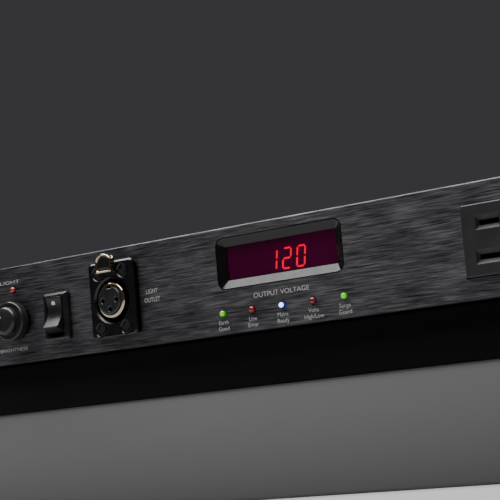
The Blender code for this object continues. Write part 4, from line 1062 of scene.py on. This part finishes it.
def choke():
    """A toroid wound with enamelled wire."""
    low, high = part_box("filter_choke")
    centre = (low + high) / 2
    major, minor = 13 * MM, 4.6 * MM
    tall = (high.z - low.z) / 2 - 0.4 * MM
    bm = bmesh.new()
    turns, per_turn, wire = 44, 20, 0.55 * MM
    count = turns * per_turn
    path = []
    for k in range(count):
        around = 2 * math.pi * k / count
        roll = 2 * math.pi * k / per_turn
        r = major + minor * math.cos(roll)
        path.append(Vector((r * math.cos(around), r * math.sin(around), tall * math.sin(roll))))
    curve = bpy.data.curves.new("winding", "CURVE")
    curve.dimensions = "3D"
    curve.bevel_depth = wire
    curve.bevel_resolution = 1
    spline = curve.splines.new("POLY")
    spline.points.add(count - 1)
    for point, spot in zip(spline.points, path):
        point.co = (*spot, 1)
    spline.use_cyclic_u = True
    add_curve(bm, curve, Matrix.Identity(4))
    mesh = make_mesh("choke_winding", bm, COPPER)
    place = Matrix.Translation(centre)
    add_piece("choke_winding", mesh, place, replaces=["filter_choke"])


def inside():
    """Finishes for what shows dimly through the vents."""
    choke()
    paint(BOARD, "main_board", "display_board")
    paint(GREY, "filter_capacitor_1", "filter_capacitor_2", "dimmer_pot")
    paint(BLUE, "surge_varistor_1", "surge_varistor_2", "surge_varistor_3")
    paint(CORE, "lamp_transformer")
    paint(TIN, "bus_line", "bus_neutral", "bus_earth")
    paint(NICKEL, "dimmer_shaft", "dimmer_nut")


# Camera, floor and light

CAMERA_AZIMUTH = 36.56  # degrees, as are the next two
CAMERA_ELEVATION = -6.8
CAMERA_ROLL = -4.83
CAMERA_DISTANCE = 704.2 * MM
CAMERA_LENS = 125.1  # millimetres, as the camera counts it
AIM = (-13.6 * MM, 32.6 * MM)  # X and Z on the panel's face
FLOOR_DROP = 68 * MM
MAT_THICK = 22 * MM
STAND_HALF = 220 * MM


def camera():
    """The photograph's view: angles round and up from the panel's face, then a roll."""
    a, e = math.radians(CAMERA_AZIMUTH), math.radians(CAMERA_ELEVATION)
    back = Vector((math.sin(a) * math.cos(e), -math.cos(a) * math.cos(e), math.sin(e)))
    aim = Vector((AIM[0], FACE, AIM[1]))
    made = bpy.data.objects.new("camera", bpy.data.cameras.new("camera"))
    bpy.context.scene.collection.objects.link(made)
    made.data.lens = CAMERA_LENS
    made.data.clip_start = 10 * MM
    look = (-back).to_track_quat("-Z", "Y").to_matrix().to_4x4()
    roll = Matrix.Rotation(math.radians(CAMERA_ROLL), 4, "Z")
    made.matrix_world = Matrix.Translation(aim + back * CAMERA_DISTANCE) @ look @ roll
    bpy.context.scene.camera = made


def softbox(name, offset, size, power):
    """An area light that faces the panel from an offset to its middle, with its long side along X."""
    light = bpy.data.lights.new(name, "AREA")
    light.shape = "RECTANGLE"
    light.size, light.size_y = size
    light.energy = power
    made = bpy.data.objects.new(name, light)
    bpy.context.scene.collection.objects.link(made)
    x, y, z = offset
    made.location = (x, FACE + y, PANEL_HIGH.z / 2 + z)
    made.rotation_euler = (math.atan2(-y, z), 0, 0)


def stand(name, top, bottom, inset, finish):
    """A block under the unit, its front a little behind the panel's face."""
    bm = bmesh.new()
    front = FACE + 5 * MM + inset
    half = STAND_HALF - inset
    box(bm, (-half, front, bottom), (half, -front, top), 1 * MM)
    block = bpy.data.objects.new(name, make_mesh(name, bm, finish))
    bpy.context.scene.collection.objects.link(block)
    return block


def studio():
    """A pale floor, a near-black mat on a plinth that the unit stands on, painted shade under the panel,
    and two soft lights.
    """
    bm = bmesh.new()
    bmesh.ops.create_grid(bm, size=6)
    floor_paint = plain_paint("floor_paint", (0.42, 0.42, 0.415), 0.85)
    floor = bpy.data.objects.new("floor", make_mesh("floor", bm, floor_paint))
    floor.location.z = -FLOOR_DROP
    bpy.context.scene.collection.objects.link(floor)
    # Near-black with its gloss turned down: painted shade under the panel's front.
    shade_mat_paint = plain_paint("shade_mat_paint", (0.002, 0.002, 0.002), 0.7, Specular_IOR_Level=0.1)
    plinth_paint = plain_paint("plinth_paint", (0.15, 0.148, 0.152), 0.8)
    mat = stand("mat", -0.5 * MM, -MAT_THICK, 0, shade_mat_paint)
    plinth = stand("plinth", -MAT_THICK, -FLOOR_DROP, 1 * MM, plinth_paint)

    world = bpy.data.worlds.new("studio")
    world.use_nodes = True
    world.node_tree.nodes["Background"].inputs["Color"].default_value = (0.042, 0.041, 0.047, 1)
    world.node_tree.nodes["Background"].inputs["Strength"].default_value = 1.0
    bpy.context.scene.world = world
    softbox("key", (-0.2, -0.1, 0.9), (1.5, 0.76), 28)
    softbox("back", (0.2, 1.1, 0.7), (1.0, 0.6), 10)


def main():
    paint(BRUSHED, "front_panel")
    paint(STEEL, "chassis_tray", "top_cover")
    display()
    lamps()
    rocker_switch()
    dimmer()
    lamp_socket()
    latch()
    outlets()
    inlet()
    breaker()
    panel_lettering()
    inside()
    camera()
    studio()


main()
